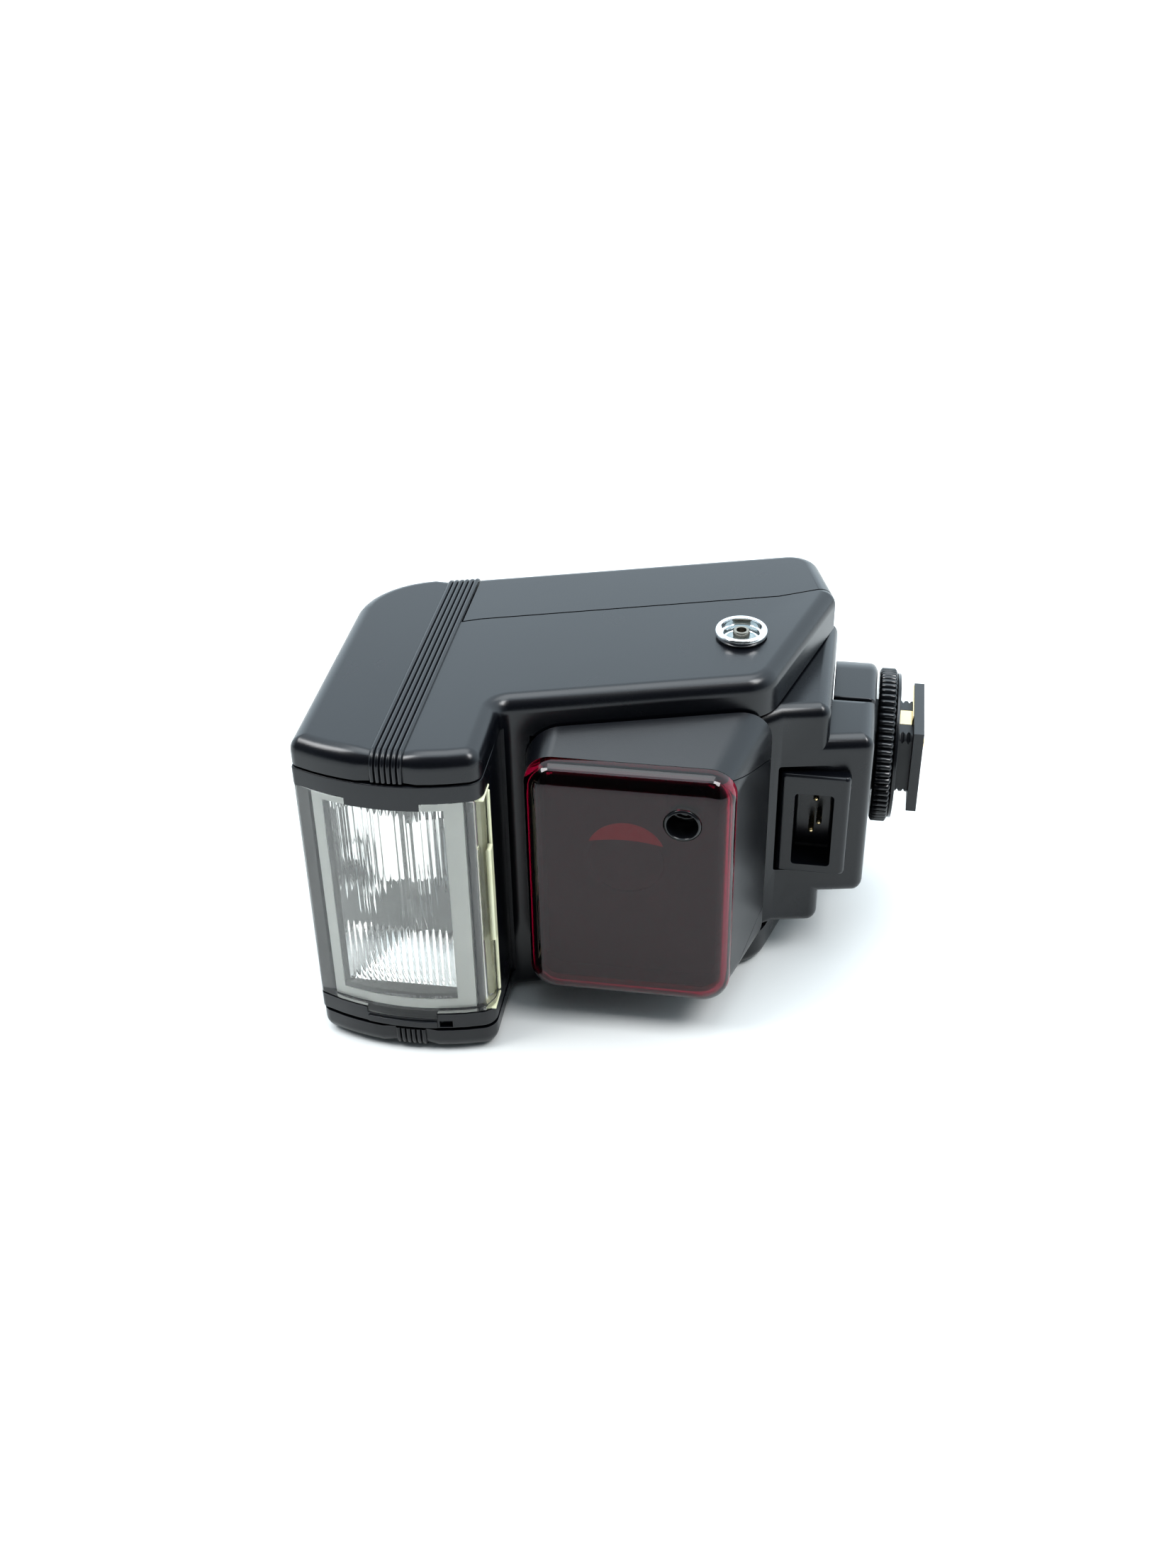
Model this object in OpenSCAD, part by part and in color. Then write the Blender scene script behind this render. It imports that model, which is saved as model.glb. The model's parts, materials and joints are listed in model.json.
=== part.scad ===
// Compact bounce-head speedlight flash.
// +Z is up, -Y is the front that faces the subject, +X is the side with the sync socket.
// The origin is the centre of the underside of the hot-shoe foot.

/* [Tilting housing] */
// Half of the housing width, at the flat side faces
body_half_w = 34; // [33.6:0.1:34.2]
// Wall thickness of the moulded shells
wall = 2; // [1.8:0.1:2.1]
// Backward lean of the battery section, degrees
lean_deg = 15.4; // [15.2:0.1:15.6]
// Distance from the hinge axis to the back face
back_d = 17.5; // [17.4:0.1:17.8]
// Distance from the hinge axis to the front wall above the foot
front_d = 32.3; // [32.2:0.1:32.5]
// Height of the top of the head
head_top_z = 110; // [109.8:0.1:110.4]

/* [Tilt hinge] */
// Hinge axis, front to back
hinge_y = 0; // [-0.2:0.1:0.2]
// Hinge axis height
hinge_z = 33; // [33:0.1:33.3]
// Radius of the hollow hinge tube
hinge_r = 3; // [2.8:0.1:3.2]
// Radius of the fixed drum at the back of the hub
drum_r = 11.6; // [11:0.1:11.6]

/* [Zoom head] */
// Half width of the sliding front carriage
carriage_half_w = 28.1; // [27.8:0.1:28.2]
// Half width of the clear front cover
clear_half_w = 24.4; // [24:0.1:24.4]
// Half width of the ribbed front lens
lens_half_w = 21.8; // [21.5:0.1:22]

/* [Fixed base] */
// Half width of the hub between the cheeks
hub_half_w = 25.7; // [25.4:0.1:25.7]
// Half width of the block above the foot
base_half_w = 18.5; // [18.2:0.1:18.7]
// Underside of the block above the foot
base_z = 9.8; // [9.8:0.1:9.9]
// Underside of the hub
hub_z = 18.2; // [18:0.1:18.3]

/* [Hot-shoe foot] */
// Width and length of the standard shoe plate
foot_w = 18.6; // [18.4:0.1:18.7]
// Thickness of the shoe plate
foot_t = 2; // [1.9:0.05:2.05]
// Outer radius of the screw thread on the stem
thread_r = 9.2; // [9.1:0.05:9.3]
// Outer radius of the knurled lock ring
ring_r = 15.5; // [15:0.1:16]
// Number of teeth in the knurl
knurl_n = 64; // [48:4:72]

/* [Batteries] */
// Radius of one AA cell
cell_r = 7; // [6.9:0.05:7]
// Distance between neighbouring cells
cell_pitch = 14.4; // [14.3:0.05:14.4]

/* [Hidden] */
$fn = 48;
eps = 0.01;
gap = 0.3;

seam_d = -1.4;
bottom_w = -13.7;
ribs_z = [89.2, 95.1];
ribs_n = 6;
top_back_r = 16.5;
corner_r = 6;
head_front_y = -65.1;
bow_r = 45.5;
bow_z = 92.5;
under_z = 76.1;
carriage_back_y = -46;
lens_z = [83.3, 104.6];
tab_z = [86.8, 100.2];
tab_w = 1.5;
lever_x = [-27.7, -26.2];
well_half_w = 26.2;
well_top_w = 48.5;
plate_d = -15.2;
saddle_r = [12, 13.5];
notch_w = 6;
af_half = [25.95, 28.2];
af_front_y = -49.7;
af_z = [33.3, 71.2];
socket_half_w = 11.5;
socket_z = [13.35, 26.9];
socket_y = -29.3;
recess_x = [-9.4, 7.3];
recess_z = [16.4, 23.8];
socket_pin_xz = [[4.6, 19.8], [-0.9, 19], [-2.9, 20.4]];
cells_d0 = -6.3;
cells_w0 = 19.9;
cells_d = [cells_d0, cells_d0 + cell_pitch];
cells_w = [cells_w0, cells_w0 + cell_pitch];
cell_len = 48.5;
door_half_w = 25.7;
door_w = [12.4, 41.5];
door_hinge = [back_d - 1.1, 13.4];
door_pin_r = 0.5;
panel_half_w = 25;
panel_w = [43.4, 52.8];
slider_w = 48.1;
button_x = 20.5;
lamp_x = 14.6;
stem_half = 7;
stem_bolt_z = 13;
pin_r = 1;
pin_xy = [[0, 0], [-4.2, 4.4], [4.2, 4.4], [4.2, -4.4]];
ring_z = [5.7, 9.2];
washer_z = [4.9, 5.6];
thread_pitch = 1.2;
sync_pos = [-17.1, 35.9];
sensor_pos = [16.9, 42.4];
af_pos = [2, 53.4];

// ---- outline helpers ----
function arc(c, r, a0, a1, n) = [for (i = [0:n]) c + r * [cos(a0 + (a1 - a0) * i / n), sin(a0 + (a1 - a0) * i / n)]];
function unit_left(a, b) = [a[1] - b[1], b[0] - a[0]] / norm(b - a);
// moves every edge of a counter-clockwise outline inwards by t
function inset(p, t) = [for (i = [0:len(p) - 1])
    let (a = unit_left(p[(i + len(p) - 1) % len(p)], p[i]), b = unit_left(p[i], p[(i + 1) % len(p)]))
    p[i] + t * (a + b) / (1 + a * b)];
// a point of the leaning section (depth d, height w) in the upright Y, Z plane
function leaned(d, w) = [hinge_y + d * cos(lean_deg) - w * sin(lean_deg), hinge_z + d * sin(lean_deg) + w * cos(lean_deg)];

// side outline of the whole tilting housing, seen from +X
bow_c = [head_front_y + bow_r, bow_z];
top_back_d = back_d - top_back_r;
top_back_z = head_top_z - top_back_r;
top_back_y = hinge_y + (top_back_d - (top_back_z - hinge_z) * sin(lean_deg)) / cos(lean_deg);
bow_top_a = 180 - asin((head_top_z - bow_z) / bow_r);
bow_low_a = 196.5;
chin_r = 3;
chin_c = bow_c + (bow_r - chin_r) * [cos(bow_low_a), sin(bow_low_a)];
head_bow = concat(arc(bow_c, bow_r, bow_top_a, bow_low_a, 8), arc(chin_c, chin_r, bow_low_a + 14, 266, 4));
housing_side = concat(
    [leaned(-3, bottom_w)],
    arc(leaned(back_d - corner_r, bottom_w + corner_r), corner_r, lean_deg - 90, lean_deg, 6),
    arc([top_back_y, top_back_z], top_back_r, lean_deg, 90, 12),
    head_bow,
    [[-45.6, under_z], leaned(-front_d, 7), [-28.5, 28]]
);
// outline of the part of the head that slides forward
head_side = concat(
    [[carriage_back_y, under_z + 0.03], [carriage_back_y, head_top_z]],
    head_bow
);
// curved strip that follows the bow of the head front, between depths t0 and t1 behind it
function bow_angle(t, z) = 180 - asin((z - bow_z) / (bow_r - t));
function bow_band(t0, t1, z0, z1) = concat(
    arc(bow_c, bow_r - t0, bow_angle(t0, z1), bow_angle(t0, z0), 8),
    arc(bow_c, bow_r - t1, bow_angle(t1, z0), bow_angle(t1, z1), 8)
);
// plan outline across the lean: the rear strip narrows towards the back
taper = 1.9;
plan_r = 4.5;
plan_right = concat(
    [[body_half_w, -75], [body_half_w, seam_d]],
    arc([body_half_w - taper - plan_r, back_d + 0.5 - plan_r], plan_r, 6, 90, 6)
);
housing_plan = concat(plan_right, [for (i = [len(plan_right) - 1:-1:0]) [-plan_right[i][0], plan_right[i][1]]]);
// everything of the housing that belongs to the rear cover
rear_zone = [leaned(seam_d, -30), [40, -10], [40, ribs_z[0]], leaned(seam_d, 58.64)];

hub_side = concat(
    [[-27.33, hub_z], [3.5, hub_z]],
    arc([hinge_y, hinge_z], drum_r, -70, lean_deg + 155, 20),
    [leaned(plate_d - 0.5, 4.9), leaned(plate_d - 0.5, well_top_w - 1), leaned(0.3 - front_d, well_top_w - 1),
    leaned(0.3 - front_d, 7), [-29, 26.8]]
);
base_side = [[-25.7, base_z], [-11.15, base_z], [-11.15, hub_z + wall], [-27.33, hub_z + wall], [-27.33, hub_z]];
rear_base_plan = concat([[-17.8, -10.9], [17.8, -10.9]], arc([7.8, -1], 10, 0, 90, 8), arc([-7.8, -1], 10, 90, 180, 8));

// ---- placing helpers ----
module along_x(x0, x1) {
    translate([x0, 0, 0]) rotate([90, 0, 90]) linear_extrude(x1 - x0) children();
}
module lean() {
    translate([0, hinge_y, hinge_z]) rotate([lean_deg, 0, 0]) children();
}
module both_sides() {
    children();
    mirror([1, 0, 0]) children();
}
module rod_x(r, x0, x1) {
    translate([x0, 0, 0]) rotate([0, 90, 0]) cylinder(r = r, h = x1 - x0);
}
module slab(lo, hi) {
    translate(lo) cube(hi - lo);
}
// solid housing block, with every face moved in by t
module housing_block(t) {
    intersection() {
        along_x(t - body_half_w - eps, body_half_w + eps - t) polygon(inset(housing_side, t));
        lean() translate([0, 0, -30]) linear_extrude(150) polygon(inset(housing_plan, t));
    }
}
// the recess in the housing in which the fixed hub stands
module hub_well(half_w) {
    lean() {
        slab([-half_w, -60, -30], [half_w, plate_d, well_top_w]);
        slab([-half_w, -60, -30], [half_w, 30, notch_w]);
    }
}

// ---- tilting housing ----
module rib_grooves() {
    pitch = (ribs_z[1] - ribs_z[0]) / ribs_n;
    for (i = [0:ribs_n], s = [-1, 1])
        translate([s * body_half_w, -30, ribs_z[0] + i * pitch]) cube([0.7, 80, 0.35], center = true);
}
module main_shell() {
    color([0.09, 0.09, 0.1]) difference() {
        housing_block(0);
        housing_block(wall);
        along_x(-50, 50) polygon(rear_zone);
        hub_well(well_half_w);
        slab([-carriage_half_w - 0.5, -80, 74], [carriage_half_w + 0.5, carriage_back_y + 0.15, 120]);
        translate([0, sync_pos[0], sync_pos[1]]) rod_x(3.6, 30, 40);
        rib_grooves();
    }
}
module rear_cover() {
    color([0.1, 0.1, 0.11]) difference() {
        intersection() {
            housing_block(0);
            along_x(-50, 50) polygon(inset(rear_zone, gap));
        }
        housing_block(wall);
        hub_well(well_half_w);
        lean() {
            slab([-door_half_w - gap, back_d - 5, door_w[0] - gap], [door_half_w + gap, 30, door_w[1] + gap]);
            translate([0, door_hinge[0], door_hinge[1]]) rod_x(door_pin_r, -28.5, 28.5);
            slab([-panel_half_w - 0.1, back_d - 1.2, panel_w[0] - 0.1], [panel_half_w + 0.1, 30, panel_w[1] + 0.1]);
            slab([-24, back_d - 5, slider_w - 1.5], [12.4, back_d, slider_w + 1.5]);
            translate([button_x, back_d - 5, slider_w]) rotate([-90, 0, 0]) cylinder(r = 2.8, h = 5);
            for (x = [-19, 19]) translate([x, back_d - 3, 9]) rotate([-90, 0, 0]) cylinder(r = 1.2, h = 9);
        }
    }
}
module tilt_chassis() {
    color([0.25, 0.25, 0.27]) difference() {
        intersection() {
            housing_block(wall + gap);
            lean() difference() {
                union() {
                    slab([-well_half_w - 1.5, plate_d, 8], [well_half_w + 1.5, plate_d + 1.5, well_top_w + 1.5]);
                    slab([-well_half_w - 1.5, -31.5, well_top_w], [well_half_w + 1.5, plate_d + eps, well_top_w + 1.5]);
                    both_sides() {
                        slab([well_half_w, -31.5, -15], [well_half_w + 1.5, plate_d + 1.5, well_top_w + 1.5]);
                        slab([well_half_w, plate_d, -15], [well_half_w + 1.5, 16, 11.4]);
                    }
                    intersection() {
                        rod_x(saddle_r[1], -well_half_w - 0.5, well_half_w + 0.5);
                        slab([-40, plate_d, notch_w], [40, 30, 30]);
                    }
                }
                rod_x(saddle_r[0], -well_half_w, well_half_w);
                rod_x(hinge_r + 0.05, -40, 40);
            }
        }
    }
}
module battery_door() {
    color([0.1, 0.1, 0.11]) lean() difference() {
        union() {
            slab([-door_half_w, back_d - 2, door_hinge[1]], [door_half_w, back_d - 0.2, door_w[1]]);
            translate([0, door_hinge[0], door_hinge[1]]) rod_x(0.93, -door_half_w, door_half_w);
            for (i = [0:4]) slab([-6, back_d - 0.3, 31 + 1.6 * i], [6, back_d + 0.2, 31.8 + 1.6 * i]);
        }
        translate([0, door_hinge[0], door_hinge[1]]) rod_x(door_pin_r + 0.05, -40, 40);
    }
}
module battery_door_pin() {
    color("silver") lean() translate([0, door_hinge[0], door_hinge[1]]) rod_x(door_pin_r, -28.4, 28.4);
}
module battery_cells() {
    color([0.75, 0.6, 0.2]) lean() for (i = [0:1], j = [0:1]) translate([0, cells_d[i], cells_w[j]]) {
        rod_x(cell_r, -cell_len / 2, cell_len / 2);
        mirror([(i + j) % 2, 0, 0]) rod_x(2.7, cell_len / 2 - eps, cell_len / 2 + 1);
    }
}
module battery_tray() {
    color([0.2, 0.2, 0.22]) lean() {
        slab([-27.4, -13.4, 41.7], [27.4, 14.9, 42.5]);
        both_sides() slab([26.6, -13.4, 15.5], [27.4, 14.9, 41.7 + eps]);
    }
}
module battery_contacts() {
    color("silver") lean() for (i = [0:1], j = [0:1]) {
        minus = (i + j) % 2;
        both_sides() slab([25.5, cells_d[i] - 5, cells_w[j] - 5], [26.4, cells_d[i] + 5, cells_w[j] + 5]);
        mirror([1 - minus, 0, 0]) translate([0, cells_d[i], cells_w[j]]) rod_x(2.4, cell_len / 2 + 0.1, 25.5 + eps);
    }
}
module main_capacitor() {
    color([0.12, 0.12, 0.3]) translate([0, -28.8, 91]) {
        rod_x(11.5, -20, 20);
        both_sides() rod_x(1, 20 - eps, 21.8);
    }
}
module power_board() {
    color([0.1, 0.35, 0.15]) lean() {
        slab([-26, -11, 44.2], [26, 9, 45.6]);
        slab([-20, -5, 45.6 - eps], [-6, 6, 53]);
        for (i = [0:2]) translate([2 + 7 * i, 0, 45.6 - eps]) cylinder(r = 2.6, h = 7);
    }
}
module reflector_half(r) {
    // open trough that follows a parabola, thickened outwards by r
    polygon(concat(
        [for (i = [-8:8]) [-45 + r - 14 * pow(i / 8, 2), 93.5 + (10.4 + r) * i / 8]],
        [[-59.2, 103.9 + r], [-59.2, 83.1 - r]]
    ));
}
module flash_reflector() {
    color([0.85, 0.85, 0.88]) difference() {
        along_x(-21.8, 21.8) reflector_half(0.7);
        along_x(-21.1, 21.1) reflector_half(0);
        slab([-30, -60, 83.1], [30, -59, 103.9]);
        translate([0, -48.5, 93.5]) rod_x(2.1, -30, 30);
    }
}
module flash_tube() {
    color([0.9, 0.9, 0.85]) translate([0, -48.5, 93.5]) rod_x(2, -22.6, 22.6);
}
module tube_end_caps() {
    color([0.8, 0.8, 0.78]) translate([0, -48.5, 93.5]) both_sides() {
        difference() {
            rod_x(2.9, 21.9, 24);
            rod_x(2, 21, 22.6);
        }
    }
}
module reflector_bracket() {
    color([0.2, 0.2, 0.22]) {
        slab([-24.6, -44.1, 82], [24.6, -42.9, 104]);
        both_sides() {
            slab([22.6, -42.9 - eps, 86], [24.6, -33, 101]);
            slab([22.6, -34.2, 86], [31.2, -33, 101]);
        }
    }
}
module trigger_coil() {
    color([0.6, 0.35, 0.15]) translate([27, -28, 82]) {
        cylinder(r = 2.2, h = 8);
        for (z = [0, 7.2]) translate([0, 0, z]) cylinder(r = 2.6, h = 0.8);
    }
}

// ---- zoom head ----
// the clear cover seen from the front: a notch for a tab of the carriage at +X, a latch tongue at -X
module cover_face(g) {
    difference() {
        union() {
            slab([-clear_half_w - g, -80, 60], [clear_half_w + g, -50, 130]);
            slab([-clear_half_w - 1.2 - g, -80, tab_z[0] - g], [0, -50, tab_z[1] + g]);
        }
        slab([clear_half_w - tab_w + g, -80, tab_z[0] + g], [40, -50, tab_z[1] - g]);
    }
}
// skin of the head between depths t0 and t1, as far back as y1
module head_skin(t0, t1, y1) {
    along_x(-30, 30) difference() {
        polygon(inset(head_side, t0));
        polygon(inset(head_side, t1));
        polygon([[y1, 60], [-20, 60], [-20, 130], [y1, 130]]);
    }
}
module carriage_frame() {
    color([0.06, 0.06, 0.07]) difference() {
        union() {
            intersection() {
                along_x(-carriage_half_w, carriage_half_w) polygon(head_side);
                slab([-40, -80, 60], [40, carriage_back_y, 120]);
            }
            slab([-26.8, carriage_back_y - 1, 78.9], [26.8, -36, 106.7]);
            along_x(lever_x[0], lever_x[1]) polygon(bow_band(-0.4, 0.5, tab_z[0], tab_z[1]));
        }
        slab([-25.6, -58, 80.1], [25.6, -30, 105.5]);
        slab([-22.6, -80, 79.5], [22.6, -50, 107]);
        // seat of the clear cover, and the finger recess below its latch
        intersection() {
            head_skin(-3, 2.25, -56.7);
            cover_face(0.05);
        }
        along_x(lever_x[0], lever_x[1]) polygon(bow_band(-1, 0.8, tab_z[0] - 2.8, tab_z[0] - 0.4));
        along_x(-clear_half_w, clear_half_w) polygon(bow_band(2, 3.7, 79.4, 107.2));
    }
}
module clear_cover() {
    color([0.93, 0.93, 0.8, 0.4]) intersection() {
        head_skin(0.5, 2.1, -56.8);
        cover_face(0);
    }
}
module window_frame() {
    color([0.7, 0.7, 0.7]) difference() {
        along_x(0.2 - clear_half_w, clear_half_w - 0.2) polygon(bow_band(2.3, 3.5, 80, 106.6));
        slab([-lens_half_w - 0.02, -65, lens_z[0] - 0.02], [lens_half_w + 0.02, -55, lens_z[1] + 0.02]);
    }
}
module front_lens() {
    pitch = (lens_z[1] - lens_z[0]) / 14;
    color([0.9, 0.95, 0.95, 0.5]) difference() {
        along_x(-lens_half_w, lens_half_w) polygon(bow_band(2.4, 4, lens_z[0], lens_z[1]));
        for (i = [1:13]) along_x(-30, 30) polygon([
            [-60.9, lens_z[0] + pitch * i], [-56, lens_z[0] + pitch * i - 1], [-56, lens_z[0] + pitch * i + 1]]);
    }
}

// ---- back controls ----
module control_panel() {
    color([0.14, 0.14, 0.15]) lean() difference() {
        slab([-panel_half_w, back_d - 1.15, panel_w[0]], [panel_half_w, back_d - 0.1, panel_w[1]]);
        slab([-23.8, 10, slider_w - 1.4], [-10.6, 30, slider_w + 1.4]);
        slab([-8.6, 10, slider_w - 1.4], [0.6, 30, slider_w + 1.4]);
        slab([2.8, 10, slider_w - 1.4], [12, 30, slider_w + 1.4]);
        translate([button_x, 10, slider_w]) rotate([-90, 0, 0]) cylinder(r = 2.7, h = 20);
        translate([lamp_x, 10, slider_w]) rotate([-90, 0, 0]) cylinder(r = 1.5, h = 20);
    }
}
// a flat thumb piece with three grip ridges, riding in a slot of the panel
module thumb_slider(x) {
    lean() {
        slab([x - 2.2, back_d, slider_w - 2.3], [x + 2.2, back_d + 0.7, slider_w + 2.3]);
        slab([x - 1.8, back_d - 3, slider_w - 1.2], [x + 1.8, back_d + eps, slider_w + 1.2]);
        slab([x - 2.2, back_d - 3, slider_w - 2.4], [x + 2.2, back_d - 2.3, slider_w + 2.4]);
        for (i = [-1:1]) slab([x + i * 1.1 - 0.25, back_d + 0.6, slider_w - 1.9], [x + i * 1.1 + 0.25, back_d + 1.1, slider_w + 1.9]);
    }
}
module power_switch() {
    color([0.75, 0.75, 0.75]) thumb_slider(9.6);
}
module mode_slider() {
    color([0.2, 0.2, 0.22]) thumb_slider(-1.8);
}
module film_speed_slider() {
    color([0.2, 0.2, 0.22]) thumb_slider(-13);
}
module test_button() {
    color([0.7, 0.2, 0.1]) lean() translate([button_x, back_d - 3, slider_w]) rotate([-90, 0, 0]) {
        cylinder(r = 2.6, h = 4);
        cylinder(r = 3.4, h = 0.7);
    }
}
module ready_lamp() {
    color([1, 0.45, 0.1]) lean() translate([lamp_x, back_d - 1.1, slider_w]) rotate([-90, 0, 0]) {
        cylinder(r = 1.5, h = 1.3);
    }
}

// ---- sync socket ----
module sync_ring() {
    color("silver") translate([0, sync_pos[0], sync_pos[1]]) difference() {
        union() {
            rod_x(4.8, body_half_w, body_half_w + 1.3);
            rod_x(3.55, 29, body_half_w + eps);
        }
        rod_x(3, 28, 40);
    }
}
module sync_insulator() {
    color([0.55, 0.7, 0.75]) translate([0, sync_pos[0], sync_pos[1]]) difference() {
        rod_x(3, 29.5, body_half_w - 1);
        rod_x(0.9, 28, 40);
    }
}
module sync_pin() {
    color("silver") translate([0, sync_pos[0], sync_pos[1]]) difference() {
        union() {
            rod_x(0.9, 29.2, body_half_w - 1);
            rod_x(1.6, body_half_w - 1, body_half_w + 0.9);
        }
        rod_x(0.8, body_half_w - 0.6, 40);
    }
}
module detent_spring() {
    color("silver") lean() {
        slab([28.2, -11.4, -4], [29.2, -10.6, 9]);
        slab([27.75, -11.4, 7], [28.2 + eps, -10.6, 9]);
    }
}
module cover_screws() {
    color([0.2, 0.2, 0.2]) lean() for (x = [-19, 19]) translate([x, back_d - 1.6, 9]) rotate([-90, 0, 0]) difference() {
        cylinder(r = 1.15, h = 1.5);
        slab([-0.2, -0.8, 1], [0.2, 0.8, 2]);
        slab([-0.8, -0.2, 1], [0.8, 0.2, 2]);
    }
}

// ---- fixed base ----
module hub_housing() {
    color([0.09, 0.09, 0.1]) difference() {
        union() {
            along_x(-hub_half_w, hub_half_w) polygon(hub_side);
            along_x(-base_half_w, base_half_w) polygon(base_side);
        }
        along_x(wall - hub_half_w, hub_half_w - wall) polygon(inset(hub_side, wall));
        along_x(wall - base_half_w, base_half_w - wall) polygon([
            [-23.6, base_z + wall], [-11, base_z + wall], [-11, hub_z + 2.5], [-25.2, hub_z + 2.5]]);
        slab([-15, -11.5, base_z + wall], [15, -11, hub_z - 1]);
        lean() {
            slab([-20, -40, 12], [20, -28, 42]);
            rod_x(hinge_r + 0.02, -40, 40);
        }
        // pocket for the power socket
        slab([recess_x[0] - 1.4, -40, recess_z[0] - 1.1], [recess_x[1] + 1.4, -20, recess_z[1] + 1.1]);
    }
}
module base_rear_cover() {
    color([0.09, 0.09, 0.1]) difference() {
        translate([0, 0, base_z]) linear_extrude(hub_z - base_z - 0.1) polygon(rear_base_plan);
        translate([0, 0, base_z + wall]) linear_extrude(hub_z - base_z - wall - 1.6) polygon(inset(rear_base_plan, wall));
        slab([-stem_half - 0.05, -stem_half - 0.05, 0], [stem_half + 0.05, stem_half + 0.05, base_z + wall + 1]);
        for (x = [-10, 10], y = [-6, 4]) translate([x, y, 9]) cylinder(r = 0.8, h = 4);
    }
}
module rounded_plate(half_w, z0, z1, r, y0, y1) {
    for (x = [-1, 1], z = [z0 + r, z1 - r])
        translate([x * (half_w - r), y0, z]) rotate([-90, 0, 0]) cylinder(r = r, h = y1 - y0, $fn = 32);
}
module af_loft(t) {
    hull() {
        rounded_plate(af_half[0] - t, af_z[0] + t, af_z[1] - t, 5 - t, af_front_y - (t > 0 ? 0.2 : 0), af_front_y + 0.4);
        lean() rounded_plate(af_half[1] - t, 4.4 + t, 49.4 - t, 6.5 - t, -front_d - 0.7, t > 0 ? -front_d - 0.1 : -front_d - 0.3);
    }
}
module af_foot_prism(g) {
    translate([0, 0, 20]) linear_extrude(24) polygon([[-24 - g, -50.5], [24 + g, -50.5], [15.5 + g, -29], [-15.5 - g, -29]]);
}
module af_foot_side(g) {
    intersection() {
        af_foot_prism(g);
        along_x(-30, 30) polygon([[-60, 20], [-29, 20], [-28, 29.2 + g], [-49.4, 35.3 + g], [-60, 38]]);
    }
}
module af_housing() {
    color([0.12, 0.12, 0.13]) difference() {
        af_loft(0);
        af_loft(1.8);
        af_foot_side(0.15);
        hub_side_cut();
    }
}
module hub_side_cut() {
    along_x(-40, 40) polygon([[-29.02, 18], [-20, 18], leaned(-front_d - 0.3, 30), leaned(-front_d - 0.3, 7)]);
}
module af_lower_cover() {
    color([0.11, 0.11, 0.12]) difference() {
        intersection() {
            af_loft(0);
            af_foot_side(0);
        }
        af_loft(1.8);
        hub_side_cut();
    }
}
module red_window() {
    y0 = af_front_y - 0.1;
    color([0.35, 0.03, 0.08, 0.6]) difference() {
        hull() {
            rounded_plate(af_half[0], af_z[0], af_z[1], 5, y0 - 2.2, y0);
            rounded_plate(af_half[0] - 2.6, af_z[0] + 2.6, af_z[1] - 2.6, 4, y0 - 4.8, y0 - 4.6);
        }
        hull() {
            rounded_plate(af_half[0] - 1.5, af_z[0] + 1.5, af_z[1] - 1.5, 3.5, y0 - 2.2, y0 + 0.2);
            rounded_plate(af_half[0] - 3.6, af_z[0] + 3.6, af_z[1] - 3.6, 3, y0 - 3.5, y0 - 3.3);
        }
        translate([sensor_pos[0], -60, sensor_pos[1]]) rotate([-90, 0, 0]) cylinder(r = 3.35, h = 10);
    }
}
// black plate behind the window that carries the focus lens and the sensor
module af_mask() {
    color([0.05, 0.05, 0.06]) difference() {
        hull() rounded_plate(23.8, 36.2, 68.3, 3, -46.9, -45.7);
        translate([af_pos[0], -50, af_pos[1]]) rotate([-90, 0, 0]) cylinder(r = 7.05, h = 10);
    }
}
module sensor_barrel() {
    color([0.05, 0.05, 0.06]) translate([sensor_pos[0], 0, sensor_pos[1]]) rotate([-90, 0, 0]) difference() {
        translate([0, 0, -54.9]) cylinder(r = 3.3, h = 7.95);
        translate([0, 0, -55]) cylinder(r = 2.6, h = 6);
    }
}
module sensor_lens() {
    color([0.3, 0.4, 0.5]) translate([sensor_pos[0], -50.4, sensor_pos[1]]) rotate([-90, 0, 0]) {
        cylinder(r = 2.55, h = 1.35);
    }
}
module af_lens() {
    color([0.8, 0.1, 0.1]) translate([af_pos[0], -48.4, af_pos[1]]) rotate([-90, 0, 0]) difference() {
        cylinder(r = 7, h = 3.2);
        cylinder(r = 5.8, h = 1);
    }
}
module af_lamp() {
    color([0.9, 0.2, 0.2]) translate([af_pos[0], -44, af_pos[1]]) rotate([-90, 0, 0]) {
        cylinder(r = 2.5, h = 5);
        translate([0, 0, 4]) cylinder(r = 3, h = 1);
    }
}
module af_board() {
    color([0.1, 0.35, 0.15]) slab([-19, -38.95, 38], [19, -37.75, 64]);
}
module socket_bezel() {
    color([0.1, 0.1, 0.11]) difference() {
        union() {
            along_x(-socket_half_w, socket_half_w) polygon([
                [socket_y, socket_z[0]], [-26.45, socket_z[0]], [-29.01, socket_z[1] - 0.1], [socket_y, socket_z[1] - 0.1]]);
            slab([recess_x[0] - 1.2, -28, recess_z[0] - 0.9], [recess_x[1] + 1.2, -21.5, recess_z[1] + 0.9]);
        }
        slab([recess_x[0], -40, recess_z[0]], [recess_x[1], -23, recess_z[1]]);
        for (p = socket_pin_xz) translate([p[0], -24, p[1]]) rotate([-90, 0, 0]) cylinder(r = 0.6, h = 4);
    }
}
module socket_pins() {
    color([0.85, 0.7, 0.35]) for (p = socket_pin_xz)
        translate([p[0], -27, p[1]]) rotate([-90, 0, 0]) cylinder(r = 0.55, h = 6);
}
module hinge_tube() {
    color("silver") lean() difference() {
        rod_x(hinge_r, -30, 30);
        rod_x(hinge_r - 0.8, -31, 31);
    }
}
module detent_disc() {
    color("silver") lean() difference() {
        rod_x(9, 28.2, 29.2);
        rod_x(hinge_r + 0.02, 27, 31);
        for (a = [90, 60, 45, 30, 0]) rotate([a + 90, 0, 0]) translate([0, 0, 9.3]) rod_x(0.8, 28, 30);
    }
}

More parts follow.
